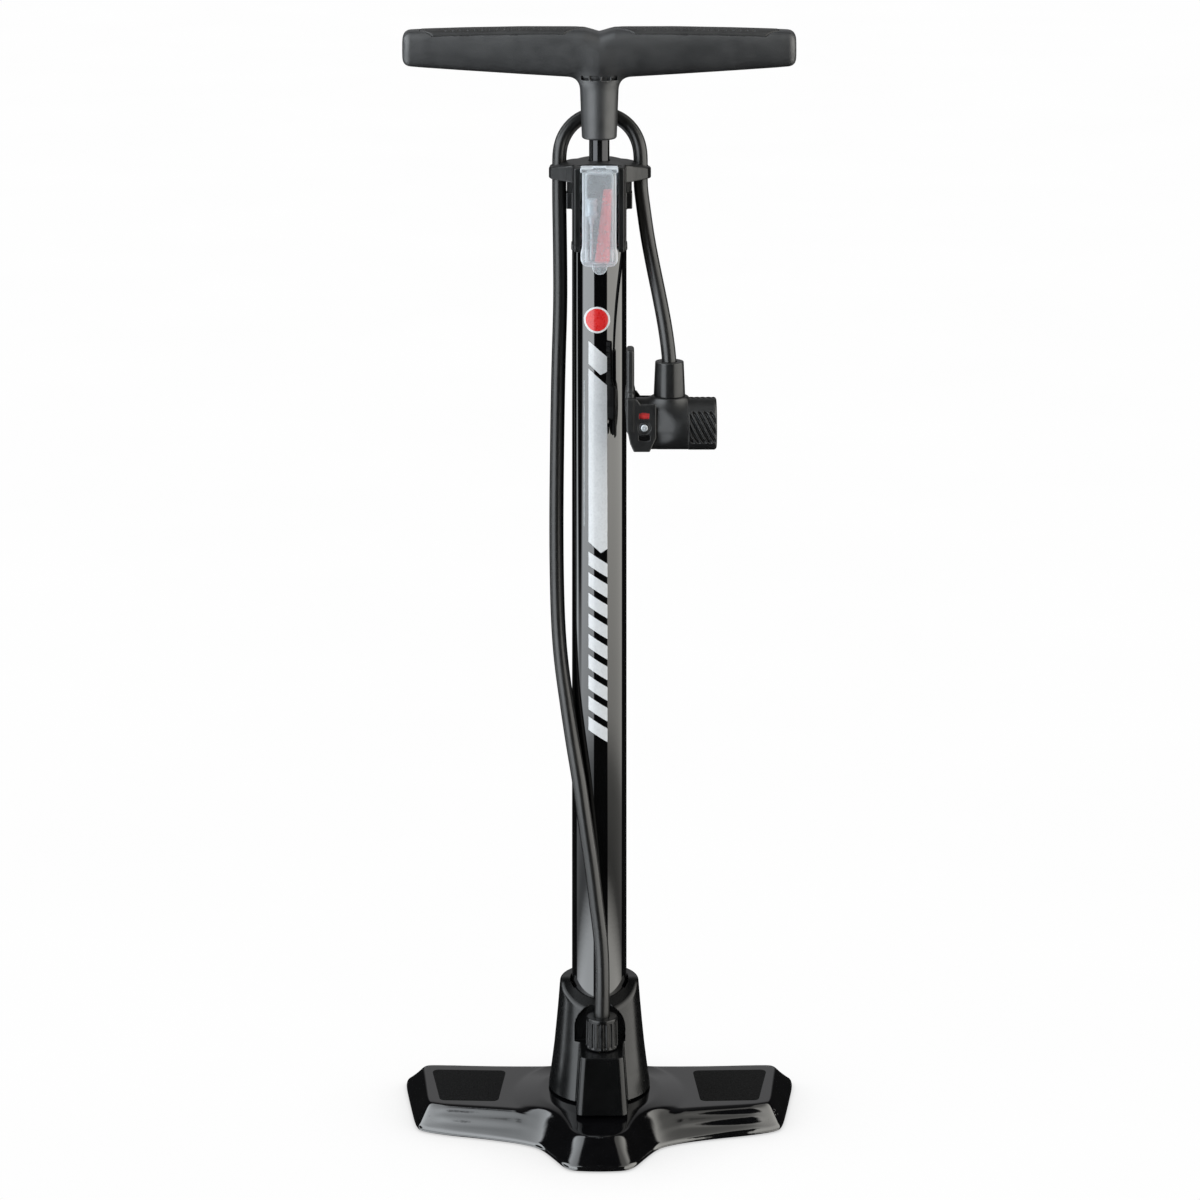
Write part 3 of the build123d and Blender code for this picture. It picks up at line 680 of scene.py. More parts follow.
def patch(name, poly, mat, r=16.035, step=0.45):
    """A printed patch on the barrel: poly is in (x, z) as seen from the front."""
    poly = np.array(poly, float)
    x0, z0 = poly.min(0)
    x1, z1 = poly.max(0)
    import bmesh
    bm = bmesh.new()
    ring = []
    n = len(poly)
    for i in range(n):
        a, b = poly[i], poly[(i + 1) % n]
        k = max(1, int(np.ceil(np.abs(b[0] - a[0]) / step)))
        for j in range(k):
            ring.append(a + (b - a) * j / k)
    vs = [bm.verts.new((q[0], 0, q[1])) for q in ring]
    bm.faces.new(vs)
    # cut into upright strips so that the patch bends round the tube
    x = math.floor(x0 / step) * step
    while x < x1:
        geom = bm.verts[:] + bm.edges[:] + bm.faces[:]
        bmesh.ops.bisect_plane(bm, geom=geom, plane_co=(x, 0, 0), plane_no=(1, 0, 0))
        x += step
    bmesh.ops.triangulate(bm, faces=bm.faces[:])
    for v in bm.verts:
        v.co = Vector((v.co.x, -math.sqrt(max(r * r - v.co.x ** 2, 0)), v.co.z)) * S
    me = bpy.data.meshes.new(name)
    bm.to_mesh(me)
    bm.free()
    ob = bpy.data.objects.new(name, me)
    bpy.context.scene.collection.objects.link(ob)
    for f in me.polygons:
        f.use_smooth = True
    nr = np.array([(v.co.x, v.co.y, 0) for v in me.vertices])
    nr /= np.linalg.norm(nr, axis=1)[:, None]
    # faces look outwards
    if len(me.polygons) and me.polygons[0].normal.y > 0:
        me.flip_normals()
    me.normals_split_custom_set_from_vertices(nr)
    me.materials.append(mat)
    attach(ob, "frame")
    return ob


def fx(px):
    return (px - 599.3) * 0.587 * (2120 - 15.5) / 2120


def fz(py):
    return 858 - 0.587 * (py + 350) * (2120 - 15.5) / 2120


def fpoly(pts):
    return [(fx(a), fz(b)) for a, b in pts]


ecx, ecz = fx(597), fz(320)


def disc(r, n=40):
    return [(ecx + r * math.cos(2 * math.pi * i / n), ecz + r * math.sin(2 * math.pi * i / n)) for i in range(n)]


patch("print_badge_rim", disc(7.7), INK_WHITE, 16.03)
patch("print_badge", disc(6.6), INK_RED, 16.045)
patch("print_chevron", fpoly([(588.5, 341), (607, 357), (607, 372), (600.5, 375), (588.5, 364)]), INK_WHITE)
patch("print_bar", fpoly([(588.5, 369), (607, 385.5), (607.5, 549), (601, 553), (588.5, 542)]), INK_WHITE)
for i in range(9):
    y0 = 552 + i * 20.6
    patch("print_slash_%d" % i, fpoly([(588.5, y0), (607.5, y0 + 12), (607.5, y0 + 25.5), (588.5, y0 + 13.5)]), INK_WHITE)
patch("print_line", fpoly([(583.6, 381), (585.0, 381), (585.0, 527), (583.6, 527)]), INK_GREY)

# =================================================================== base plate
GROUND = [(0, -85), (15, -84), (20.5, -79), (26, -68), (32, -57), (37, -51.5), (48, -46), (67.5, -40),
          (88.5, -35), (104, -29), (107, -21), (111, 5), (115, 33), (115, 41), (113, 46), (60, 46), (0, 46)]
TOP = [(0, -67.5), (10, -67), (13.5, -64), (18, -55), (23, -45), (30, -36), (43, -29), (63, -26.5),
       (84, -24), (97, -22.5), (99.3, -20), (101.6, 5), (104, 30), (104, 33), (101, 35), (56, 32), (0, 33)]


def closed(half):
    return half + [(-x, y) for x, y in reversed(half) if abs(x) > 1e-6]


def chaikin(pts, n=3):
    pts = np.array(pts, float)
    for _ in range(n):
        nxt = np.roll(pts, -1, 0)
        pts = np.stack([0.78 * pts + 0.22 * nxt, 0.22 * pts + 0.78 * nxt], 1).reshape(-1, 2)
    return pts


GR, TP = chaikin(closed(GROUND), 2), chaikin(closed(TOP), 2)
GSTEP = 0.5
gx = np.arange(-120, 120.01, GSTEP)
gy = np.arange(-90, 51.01, GSTEP)
GX, GY = np.meshgrid(gx, gy, indexing="ij")
dg = -poly2(GX, GY, GR)                     # positive inside the ground outline
dt = np.maximum(poly2(GX, GY, TP), 0)       # positive outside the top outline
tt = np.clip(dg, 0, None) / np.maximum(np.clip(dg, 0, None) + dt, 1e-6)
tt = np.where(dg <= 0, 0, tt)
slope = np.where(tt < 0.7, 1.176 * tt, 1 - 1.961 * (1 - tt) ** 2)
wing = np.clip((np.abs(GX) - 34) / 14, 0, 1) * np.clip((98 - np.abs(GX)) / 8, 0, 1) * (GY < -5)
H0 = 2.2 + 11.8 * np.clip((tt + (slope - tt) * wing) * 1.04, 0, 1)
rr_ = np.hypot(GX / 1.12, (GY + 8) / 1.15)
H0 = H0 + 2.5 * np.clip(1 - (rr_ - 31) / 14.0, 0, 1) * (tt >= 1) * 1.0
rl = np.clip((-GY - 30) / 25, 0, 1) * np.clip(1 - np.abs(GX) / 26.0, 0, 1)


def blur(a, sigma):
    r = int(3 * sigma / GSTEP) + 1
    k = np.exp(-0.5 * (np.arange(-r, r + 1) * GSTEP / sigma) ** 2)
    k /= k.sum()
    a = np.pad(a, r, mode="edge")
    a = np.apply_along_axis(lambda m: np.convolve(m, k, mode="valid"), 0, a)
    return np.apply_along_axis(lambda m: np.convolve(m, k, mode="valid"), 1, a)


# three shallow pressed flutes along each wing's skirt, fading out towards the middle
flute = np.sin(2 * np.pi * (3.1 * tt - 0.12 + 0.0012 * (np.abs(GX) - 60))) * np.clip(np.sin(np.pi * np.clip(tt * 1.1, 0, 1)), 0, 1) ** 0.5
HB = blur(H0, 1.25) + blur(flute * wing * 0.25, 0.5)
DG = blur(dg, 0.8)


def bicubic(F, x, y):
    u = np.clip((x - gx[0]) / GSTEP, 1.001, len(gx) - 2.001)
    v = np.clip((y - gy[0]) / GSTEP, 1.001, len(gy) - 2.001)
    i, j = u.astype(int), v.astype(int)
    fu, fv = u - i, v - j

    def w(t):
        return [-0.5 * t + t * t - 0.5 * t ** 3, 1 - 2.5 * t * t + 1.5 * t ** 3, 0.5 * t + 2 * t * t - 1.5 * t ** 3,
                -0.5 * t * t + 0.5 * t ** 3]
    wu, wv = w(fu), w(fv)
    out = 0
    for a in range(4):
        row = 0
        for b in range(4):
            row = row + wv[b] * F[i + a - 1, j + b - 1]
        out = out + wu[a] * row
    return out


def base_f(p):
    x, y, z = p
    h = bicubic(HB, x, y)
    d = bicubic(DG, x, y)
    top = (z - h) * 0.74
    outer = smax(np.maximum(top, -z), -d, 1.2)
    inner = np.maximum((z - h) * 0.74 + 1.5, -(d - 1.6))
    return smax(outer, -inner, 0.4)


o = sdf_mesh("base_pressing", base_f, (-115.5, -85.6, 0), (115.5, 46.5, 17), 0.72)
put(o, "steel_black", "frame", "steel_black", "base_plate")


# ================================================================ boot with port
def boot_f(p):
    x, y, z = p
    zz = np.clip(z, 10, 90)
    rx = np.interp(zz, [16.5, 30.3, 42, 53.8, 65.5, 79], [29.9, 27.8, 26.3, 25.1, 24.0, 22.9])
    ry = rx + np.interp(zz, [16.5, 79], [1.6, 0.0])
    cy = np.interp(zz, [16.5, 79], [-2.0, 0.0])
    q = np.sqrt((x / rx) ** 2 + ((y - cy) / ry) ** 2 + 1e-9)
    d = (q - 1) * rx * 0.99
    top = z - 79.0
    slope = (z - 79.0) * math.cos(math.radians(25)) + (-y - 2.0) * math.sin(math.radians(25))
    d = smax(d, smax(top, slope, 1.5), 2.0)
    d = smax(d, 16.4 - z, 0.6)
    # port block, wider at the foot
    w = np.interp(zz, [16.5, 50], [15.0, 12.7])
    yf = np.interp(zz, [16.5, 50], [-50.0, -48.0])
    bx = np.abs(x - PORT_X) - w + 4.0
    by = np.maximum(yf - y, y + 14) + 4.0
    blk = np.hypot(np.maximum(bx, 0), np.maximum(by, 0)) + np.minimum(np.maximum(bx, by), 0) - 4.0
    blk = smax(blk, np.maximum(z - 50.0, 16.4 - z), 0.9)
    d = smin(d, blk, 1.0)
    # arched recess that the hose nut stands in
    ax = np.abs(x - PORT_X + 1.2)
    arch = np.where(z > 57, np.hypot(ax, z - 57) - 14.4, ax - 14.4)
    arch = np.maximum(arch, np.maximum(y + 20.6, 50 - z))
    d = smax(d, -arch, 0.7)
    d = smax(d, -np.maximum(np.hypot(x, y) - 16.05, 24 - z), 0.3)
    d = smax(d, -np.maximum(np.hypot(x, y) - 16.9, 72.5 - z + y * 0.0 - np.clip(-y, 0, 20) * -0.42), 0.6)
    d = smax(d, -np.maximum(np.hypot(x - PORT_X, y - PORT_Y) - 5.05, 31 - z), 0.3)
    # shadow gap round the foot
    return np.where(z < 17.6, np.maximum(d, np.minimum(d + 0.9, 17.6 - z)), d)


o = sdf_mesh("boot_moulding", boot_f, (-32, -52, 16), (32, 31, 80), 0.6)
put(o, "boot_black", "frame", "plastic_black", "base_boot")


# ===================================================================== hose nut
def nut_f(p):
    x, y, z = p
    r = np.hypot(x - PORT_X, y - PORT_Y)
    th = np.arctan2(y - PORT_Y, x - PORT_X)
    d = cone_like(r, z, 9.35, 8.9, 50.1, 68, 0.8)
    wv = np.cos(th * 16)
    rib = 0.6 * np.clip(0.35 - 1.1 * wv, 0, 1) * np.clip((z - 51.2) / 0.8, 0, 1) * np.clip((66.0 - z) / 0.7, 0, 1)
    d = d + rib
    d = smax(d, -(r - HOSE_R - 0.05), 0.5)
    return d


o = sdf_mesh("hose_nut_ribbed", nut_f, (PORT_X - 9.5, PORT_Y - 9.5, 50), (PORT_X + 9.5, PORT_Y + 9.5, 68.2), 0.34)
put(o, "boot_black", "frame", "plastic_black", "hose_nut")


# ========================================================================= hose
def smooth_path(points, step=3.0):
    """Evenly spaced points on a centripetal spline, with the direction at each."""
    P = [np.array(q, float) for q in points]
    dense = []
    for i in range(len(P) - 1):
        p0, p1, p2, p3 = P[max(i - 1, 0)], P[i], P[i + 1], P[min(i + 2, len(P) - 1)]
        d12 = np.linalg.norm(p2 - p1) ** 0.5
        m1 = m2 = p2 - p1
        if i > 0:
            d01 = np.linalg.norm(p1 - p0) ** 0.5
            m1 = (p2 - p1) + ((p1 - p0) / d01 - (p2 - p0) / (d01 + d12)) * d12
        if i < len(P) - 2:
            d23 = np.linalg.norm(p3 - p2) ** 0.5
            m2 = (p2 - p1) + ((p3 - p2) / d23 - (p3 - p1) / (d12 + d23)) * d12
        for s in range(40):
            u = s / 40
            dense.append(p1 * (2 * u ** 3 - 3 * u ** 2 + 1) + m1 * (u ** 3 - 2 * u ** 2 + u)
                         + p2 * (-2 * u ** 3 + 3 * u ** 2) + m2 * (u ** 3 - u ** 2))
    dense.append(P[-1])
    D = np.array(dense)
    # even the curve out a little
    for _ in range(60):
        D[1:-1] = 0.25 * D[:-2] + 0.5 * D[1:-1] + 0.25 * D[2:]
    L = np.concatenate([[0], np.cumsum(np.linalg.norm(np.diff(D, axis=0), axis=1))])
    n = max(4, int(round(L[-1] / step)))
    s = np.linspace(0, L[-1], n + 1)
    C = np.stack([np.interp(s, L, D[:, k]) for k in range(3)], 1)
    for _ in range(3):
        C[1:-1] = 0.25 * C[:-2] + 0.5 * C[1:-1] + 0.25 * C[2:]
    T = np.gradient(C, axis=0)
    T /= np.linalg.norm(T, axis=1)[:, None]
    return C, T


def tube_mesh(name, C, T, radius, count=40, caps=True):
    """A tube along the points, turned as little as possible on the way."""
    n = len(C)
    N = np.zeros_like(C)
    ref = np.array([0, 1.0, 0]) if abs(T[0][1]) < 0.8 else np.array([1.0, 0, 0])
    N[0] = ref - T[0] * (ref @ T[0])
    N[0] /= np.linalg.norm(N[0])
    for i in range(1, n):
        v = N[i - 1] - T[i] * (N[i - 1] @ T[i])
        N[i] = v / np.linalg.norm(v)
    B = np.cross(T, N)
    th = np.linspace(0, 2 * np.pi, count, endpoint=False)
    rad = np.broadcast_to(np.asarray(radius, float), (n,))
    V = C[:, None] + rad[:, None, None] * (N[:, None] * np.cos(th)[None, :, None] + B[:, None] * np.sin(th)[None, :, None])
    verts = V.reshape(-1, 3)
    a = np.arange(n - 1)[:, None] * count + np.arange(count)[None]
    b = np.arange(n - 1)[:, None] * count + (np.arange(count)[None] + 1) % count
    faces = np.stack([a, b, b + count, a + count], -1).reshape(-1, 4)
    if caps:
        # rounded-over ends that close to a small disc
        extra, ef = [], []
        base_n = len(verts)
        for end, sign in ((0, -1), (n - 1, 1)):
            ring0 = end * count + np.arange(count)
            prev = ring0
            for k, (f, out) in enumerate(((0.9, 0.22), (0.45, 0.3), (0.05, 0.3))):
                ring = C[end] + sign * T[end] * out * 0.6 + (V[end] - C[end]) * f
                ids = base_n + len(extra) + np.arange(count)
                extra.extend(ring)
                q = np.stack([prev, np.roll(prev, -1), np.roll(ids, -1), ids], 1)
                ef.append(q if sign > 0 else q[:, ::-1])
                prev = ids
        verts = np.concatenate([verts, np.array(extra)])
        faces = np.concatenate([faces] + ef)
    return mesh_from(name, verts * S, faces)


RUN = [(PORT_X, PORT_Y, 52), (PORT_X, PORT_Y, 60), (PORT_X, PORT_Y, 68), (1.8, -30, 85), (1.1, -27.2, 107.6), (-1.7, -24.8, 130.4),
       (-4.65, -23, 153.5), (-8.3, -21, 176.7), (-11.6, -18.2, 199), (-15.6, -14.0, 221.7), (-19.2, -9, 244.1),
       (-22.4, -4, 266.1), (-24.2, 0, 288.6), (-25.2, 3.5, 334.7), (-24.7, 6, 400), (-24.0, 7.5, 437.4),
       (-23.0, 8.5, 474.9), (-23.2, 9.3, 507.8), (CLIP_L, 9.9, 533.7), (CLIP_L, CLIP_Y, 551)]
LX, LR = (CLIP_L + CLIP_R) / 2, (CLIP_R - CLIP_L) / 2
for deg in (12, 36, 60, 90, 120, 144, 168):
    t = math.radians(deg)
    RUN.append((LX - LR * math.cos(t), CLIP_Y + 7.4 * math.sin(t) ** 1.2, 560 + LR * math.sin(t)))
RUN += [(CLIP_R, CLIP_Y, 551)]
DROP = [(CLIP_R, CLIP_Y, PIV_Z), (25.7, 7.9, 531.6), (28.3, 2.5, 513.6), (31.7, -6, 496.3), (35.4, -16, 479.3),
        (38.6, -24.5, 462.3), (40.3, -29.2, 449), (NX, HY, 444), (NX, HY, 436), (NX, HY, 429)]
C, T = smooth_path(RUN + DROP, 2.5)
cut = int(np.argmin(np.abs(C[:, 2] - 551) + (C[:, 0] < 0) * 1e3))
o = tube_mesh("hose_run", C[:cut + 1], T[:cut + 1], HOSE_R)
put(o, "hose_rubber", "frame", "hose_rubber", "hose")
o = tube_mesh("hose_drop", C[cut:], T[cut:], HOSE_R)
o.data.materials.append(MAT["hose_rubber"])
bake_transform(o)
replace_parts(o, "hose_free_end")


# ======================================================================= collar
YOKE = [(15.0, -13.5), (19.5, -9.5), (24.5, -3.0), (28.6, 2.5), (29.5, 6.0), (29.4, 16.2), (16.0, 16.2), (10, 12), (10, -10)]


def collar_f(p):
    x, y, z = p
    r = np.hypot(x, y)
    crown = 553.6 + 5.2 * np.clip(1 - (x / 29.4) ** 2, 0, 1)
    ring = cone_like(r, z, 19.1, 19.1, 531, 575, 1.0)
    front = rbox(p, -15.5, 15.5, -27.5, 3, 509.2, 575, 1.1)
    flange = rbox(p, -16.4, 16.4, -27.7, -2, 509, 511.6, 0.7)
    arms = smax(poly2(np.abs(x), y, YOKE), 547.0 - z, 0.9)
    cl = smin(cz(p, CLIP_L, CLIP_Y, 6.1, 546.8, 575, 0.8), cz(p, CLIP_R, CLIP_Y, 6.1, 546.8, 575, 0.8), 0.5)
    d = smin(smin(ring, front, 1.2), smin(arms, flange, 0.2), 0.8)
    d = smin(d, cl, 0.6)
    d = smax(d, (z - crown) * 0.94, 1.5)
    tabs = smin(rbox(p, -19.3, -14, -12, -1, 531.6, 541, 0.7), rbox(p, 14, 19.3, -12, -1, 531.6, 541, 0.7), 0.1)
    d = smin(d, tabs, 0.6)
    d = smax(d, -np.maximum(r - 16.03, z - 548.2), 0.3)
    d = smax(d, -(r - np.where(z > 556.3, 6.5, 9.05)), 0.3)
    d = smax(d, -rbox(p, -11.1, 11.1, -40, -17.95, 490, 585, 0.5), 0.5)
    d = smax(d, -rbox(p, -13.0, 13.0, -20.0, -17.95, 511, 585, 0.2), 0.2)
    for c in (CLIP_L, CLIP_R):
        d = smax(d, -(np.hypot(x - c, y - CLIP_Y) - HOSE_R - 0.06), 0.3)
        d = smax(d, -rbox(p, c - 3.3, c + 3.3, CLIP_Y, 30, 530, 590, 0.8), 0.5)
    # outer flanks of the rails lean in towards the case
    return smax(d, np.where(y < -20, (np.abs(x) - 15.2) + (-20 - y) * 0.10, -5.0), 0.6)


o = sdf_mesh("collar_moulding", collar_f, (-30, -28, 508.5), (30, 17.5, 559.5), 0.42)
put(o, "plastic_black", "frame", "plastic_black", "top_collar")

o = lathe("guide_bush", round_outline([(6.06, 520), (14.45, 520), (14.45, 547.9), (9.0, 547.9), (9.0, 552.9), (6.06, 552.9)], 0.4), count=72)
put(o, "acetal", "frame", "acetal", "rod_guide_bush")
o = lathe("wiper_ring", round_outline([(6.05, 553.1), (8.95, 553.1), (8.95, 556.1), (7.4, 556.2), (6.05, 555.6)], 0.4), count=72)
put(o, "seal_rubber", "frame", "seal_rubber", "rod_wiper")


# ========================================================= accessory case and kit
def case_f(p):
    x, y, z = p
    flare = np.interp(z, [500, 508.5, 512.5], [1.0, 1.0, 0.0])
    hx = 9.85 + 0.95 * flare
    yf = -32.0 - 0.35 * flare
    # plan: straight walls with rounded front corners, open to the back
    qx, qy = np.abs(x) - hx + 2.6, yf - y + 2.6
    plan = np.hypot(np.maximum(qx, 0), np.maximum(qy, 0)) + np.minimum(np.maximum(qx, qy), 0) - 2.6
    # the foot is rounded in the front view and rolls under at the front
    cx = np.hypot(np.maximum(np.abs(x) - (hx - 5.2), 0), np.maximum(506.0 - z, 0)) - 5.2
    roll = np.hypot(np.maximum(-y - 29.2, 0), np.maximum(503.9 - z, 0)) - 3.1
    d = smax(plan, np.maximum(z - 557.0, 500.8 - z), 0.8)
    d = np.where(z < 506.0, np.maximum(d, cx), d)
    d = np.where(z < 503.9, np.maximum(d, roll), d)
    d = np.maximum(d, y + 18.3)
    lip = rbox(p, -11, 11, -32.5, -18.3, 555.6, 557.9, 0.8)
    tab = rbox(p, -4.2, 4.0, -32.5, -29.5, 556.5, 559.3, 0.8)
    wings = rbox(p, -12.8, 12.8, -19.75, -18.3, 511.4, 556, 0.4)
    d = smin(smin(d, lip, 0.6), smin(tab, wings, 0.1), 0.4)
    thumb = cy_(p, 0.3, 501.0, 4.3, -32.4, -30.8, 0.6)
    d = smin(d, thumb, 0.6)
    inner = rbox(p, -8.3, 8.3, -30.6, -10, 502.2, 555.2, 2.4)
    return smax(d, -inner, 0.4)


o = sdf_mesh("case_clear", case_f, (-13, -32.7, 496.5), (13, -18.2, 559.5), 0.4)
put(o, "clear_plastic", "case", "clear_plastic", "accessory_case")


def needle_f(p):
    c = (-4.6, -26)
    d = cz(p, *c, 3.35, 531.2, 540, 0.5)
    d = smin(d, cz(p, *c, 3.95, 529.9, 531.6, 0.4), 0.3)
    d = smin(d, cz(p, *c, 1.5, 525, 530.4, 0.3, r1=2.2), 0.4)
    d = smin(d, cz(p, *c, 0.85, 504.2, 531, 0.3), 0.6)
    th = p[2] * 2 * np.pi / 1.1
    d = d + 0.12 * np.cos(th) * ((p[2] > 533) & (p[2] < 538.6))
    return smax(d, -cz(p, *c, 1.9, 535, 543, 0.2), 0.2)


o = sdf_mesh("ball_needle_steel", needle_f, (-9, -30.5, 504), (-0.4, -21.5, 541.5), 0.3)
put(o, "pin_face", "case", "steel_bright", "ball_needle")


def cone_f(p):
    x = p[0] - (1.7 + (p[2] - 503) * 0.080)
    r = np.hypot(x, p[1] + 25.2)
    d = cone_like(r, p[2], 4.4, 2.7, 503, 545, 0.5)
    d = d + 0.20 * np.clip(np.cos(p[2] * 2 * np.pi / 5.2) * 4 - 3.2, 0, 1) * (p[2] > 508)
    return smax(d, -(r - np.clip(3.2 - (p[2] - 503) * 0.04, 1.4, 4)), 0.3)


o = sdf_mesh("inflation_cone_red", cone_f, (-3.2, -30, 503), (8.6, -20.5, 545.2), 0.3)
put(o, "red_plastic", "case", "red_plastic", "inflation_cone")


# ==================================================================== pump head
def head_collar_f(p):
    r = np.hypot(p[0] - NX, p[1] - HY)
    d = cone_like(r, p[2], 9.3, 8.4, 426.4, 446.5, 0.8)
    # eight soft flats round the sleeve
    th = np.arctan2(p[1] - HY, p[0] - NX)
    a8 = (th + np.pi / 8) % (np.pi / 4) - np.pi / 8
    flat = r * np.cos(a8) - (8.75 - (p[2] - 436) * 0.045) + 0.02
    d = smax(d, flat, 0.25)
    d = smax(d, -(r - HOSE_R - 0.08), 0.6)
    return d


o = sdf_mesh("head_sleeve", head_collar_f, (NX - 9.5, HY - 9.5, 426), (NX + 9.5, HY + 9.5, 447), 0.36)
put(o, "plastic_black", "hose_end", "plastic_black", "head_collar")


def head_f(p):
    x, y, z = p
    main = cx_(p, HY, HZ, 14.8, 20.6, 51.28, 0.35)
    t = np.clip((x - 33.5) / 15.0, 0, 1)
    flat = np.abs(y - HY) - 11.0 - 4.2 * t * t * (3 - 2 * t)
    d = smax(main, flat, 1.6)
    # the side walls narrow between the neck and the pin
    neck = cz(p, NX, HY, 11.4, 408, 426.2, 0.7, r1=9.7)
    d = smin(d, neck, 4.5)
    # raised lower panel on the front
    pin = np.hypot(x - PX, z - PZ)
    lower = np.maximum(np.maximum(x - (PX + 3.6), z - PZ), 5.6 - pin)
    d = smax(d, -lower, 0.5)
    slotb = rbox(p, 0, PX + 7.2, HY - 4.3, HY + 4.3, PZ - 40, PZ + 8, 0.5)
    d = smax(d, -slotb, 0.4)
    d = smax(d, -cy_(p, PX, PZ, 2.02, HY - 30, HY + 30, 0.1), 0.2)
    win = rbox(p, 22.4, 29.9, HY - 12, HY - 10.2, 414.7, 419.7, 0.3)
    d = smax(d, -win, 0.2)
    d = smax(d, -cx_(p, HY, HZ, 5.05, 30, 60, 0.2), 0.3)
    # moulded facet low on the front and back
    face = (np.abs(y - HY) * 0.8 + (405.5 - z) * 0.62) - 14.0
    d = smax(d, np.where(z < 407, face, -5.0), 0.6)
    return d


o = sdf_mesh("head_moulding", head_f, (20, HY - 15.2, 395), (52, HY + 15.2, 427), 0.36)
put(o, "plastic_dark", "hose_end", "plastic_dark", "head_body")


def cap_f(p):
    x, y, z = p
    r = np.hypot(y - HY, z - HZ)
    d = cone_like(r, x, 15.0, 15.0, 51.35, 67.8, 0.3)
    d = smax(d, cone_like(r, x, 15.0, 15.0, 40.0, 67.8, 1.8), 0.1)
    th = np.arctan2(z - HZ, -(y - HY))      # 0 faces the front
    for turn in (0.0, 2 * np.pi / 3, -2 * np.pi / 3):
        a = (th - turn + np.pi) % (2 * np.pi) - np.pi
        arc = a * 15.0
        for i in range(7):
            xc = 49.2 + 3.3 * i - 0.50 * arc
            g = (x - xc) * 0.894
            lens = np.maximum(np.hypot(np.maximum(np.abs(arc) - 7.5, 0) * 1.0, np.maximum(np.abs(x - 59.6) - 5.2, 0)) - 1.6, 0)
            dep = np.hypot(np.hypot(g, lens), (r - 15.3) * 0.5) - 1.0
            d = smax(d, -np.where(np.abs(arc) < 14, dep, 5.0), 0.2)
    d = smax(d, -cone_like(r, x, 4.05, 4.05, 48, 75, 0.1), 0.5)
    d = smax(d, -cone_like(r, x, 4.1, 6.6, 65.6, 68.6, 0.1), 0.4)
    d = smax(d, -cone_like(r, x, 8.05, 8.05, 40, 60.05, 0.1), 0.2)
    return d


o = sdf_mesh("head_cap_ribbed", cap_f, (51, HY - 15.2, 395.3), (68, HY + 15.2, 425.7), 0.3)
put(o, "plastic_dark", "hose_end", "plastic_dark", "head_cap")
o = lathe("grommet_rubber", round_outline([(4.0, 51.4), (8.0, 51.4), (8.0, 60.0), (4.0, 60.0)], 0.4), axis="x", centre=(HY, HZ), count=64)
put(o, "seal_rubber", "hose_end", "seal_rubber", "valve_grommet")

HUB = [(15.7, 427.0), (20.4, 427.0), (22.6, 424.0), (32.8, 424.0), (32.8, 404.2), (29.3, 396.6), (19.5, 396.6),
       (17.7, 400.6), (16.2, 407.6), (15.7, 414.5)]


def lever_f(p):
    x, y, z = p
    hub = poly2(x, z, [(a + (0.8 if a < 24 else -0.8), b + (0.8 if b < 410 else -0.8)) for a, b in HUB]) - 0.8
    yy = np.abs(y - HY)
    cheek = smax(hub, np.abs(yy - 12.3) - 1.1, 0.9)
    spine = rbox(p, 15.7, 20.1, HY - 13.4, HY + 13.4, PZ - 3, 427, 1.2)
    # the paddle tapers and leans very slightly, with a ribbed thumb face
    w = np.interp(z, [420, 454.1], [8.2, 7.6])
    pd = rbox((x, (y - HY) / w * 8 + HY, z), 15.7, 20.2, HY - 8, HY + 8, 418, 454.1, 1.7)
    shoulder = rbox(p, 15.8, 20.1, HY - 11, HY + 11, 416, 430, 1.6)
    d = smin(cheek, spine, 1.0)
    d = smin(d, smin(pd, shoulder, 3.0), 1.5)
    web = rbox(p, 17, PX, HY - 4, HY + 4, PZ - 3, PZ + 4.4, 0.6)
    cam = cy_(p, PX, PZ - 1.6, 4.6, HY - 4, HY + 4, 0.4)
    d = smin(d, smin(web, cam, 0.3), 0.6)
    for zz in (436, 439.5, 443, 446.5, 450):
        g = np.hypot(x - 15.3, z - zz) - 0.85
        g = np.maximum(g, yy - 5.6)
        d = smax(d, -g, 0.3)
    d = smax(d, -cy_(p, PX, PZ, 2.06, HY - 40, HY + 40, 0.1), 0.25)
    pr = np.hypot(x - PX, z - PZ)
    front = np.maximum(rbox(p, 22.9, 28.8, HY - 20, HY - 9, 415.5, 425, 0.5), pr - 8.7)
    d = smax(d, -front, 0.2)
    low = np.maximum(rbox(p, 22.7, 29.1, HY - 20, HY - 9, 390, 406.4, 0.5), pr - 7.7)
    d = smax(d, -low, 0.2)
    rim = np.maximum(np.abs(np.hypot(x - PX, z - PZ) - 3.4) - 0.35, -(yy - 13.0))
    d = smax(d, -rim, 0.2)
    return d


o = sdf_mesh("lever_moulding", lever_f, (15.4, HY - 13.7, 396.2), (33.2, HY + 13.7, 454.6), 0.36)
put(o, "plastic_dark", "lever", "plastic_dark", "lever")
# faces inside the cheeks get a near-black, rough second material: painted shade for the dark slot interior
o.data.materials.append(MAT["slot_painted_shade"])
for poly in o.data.polygons:
    c = poly.center
    if abs(c[1] * 1000 - HY) < 11.35 and c[0] * 1000 > 20.4:
        poly.material_index = 1
o = lathe("lever_pin_steel", round_outline([(0.01, HY - 13.95), (1.98, HY - 13.95), (1.98, HY + 13.95), (0.01, HY + 13.95)], 0.45), axis="y",
          centre=(PX, PZ), count=48)
put(o, "pin_face", "hose_end", "steel_bright", "lever_pin")
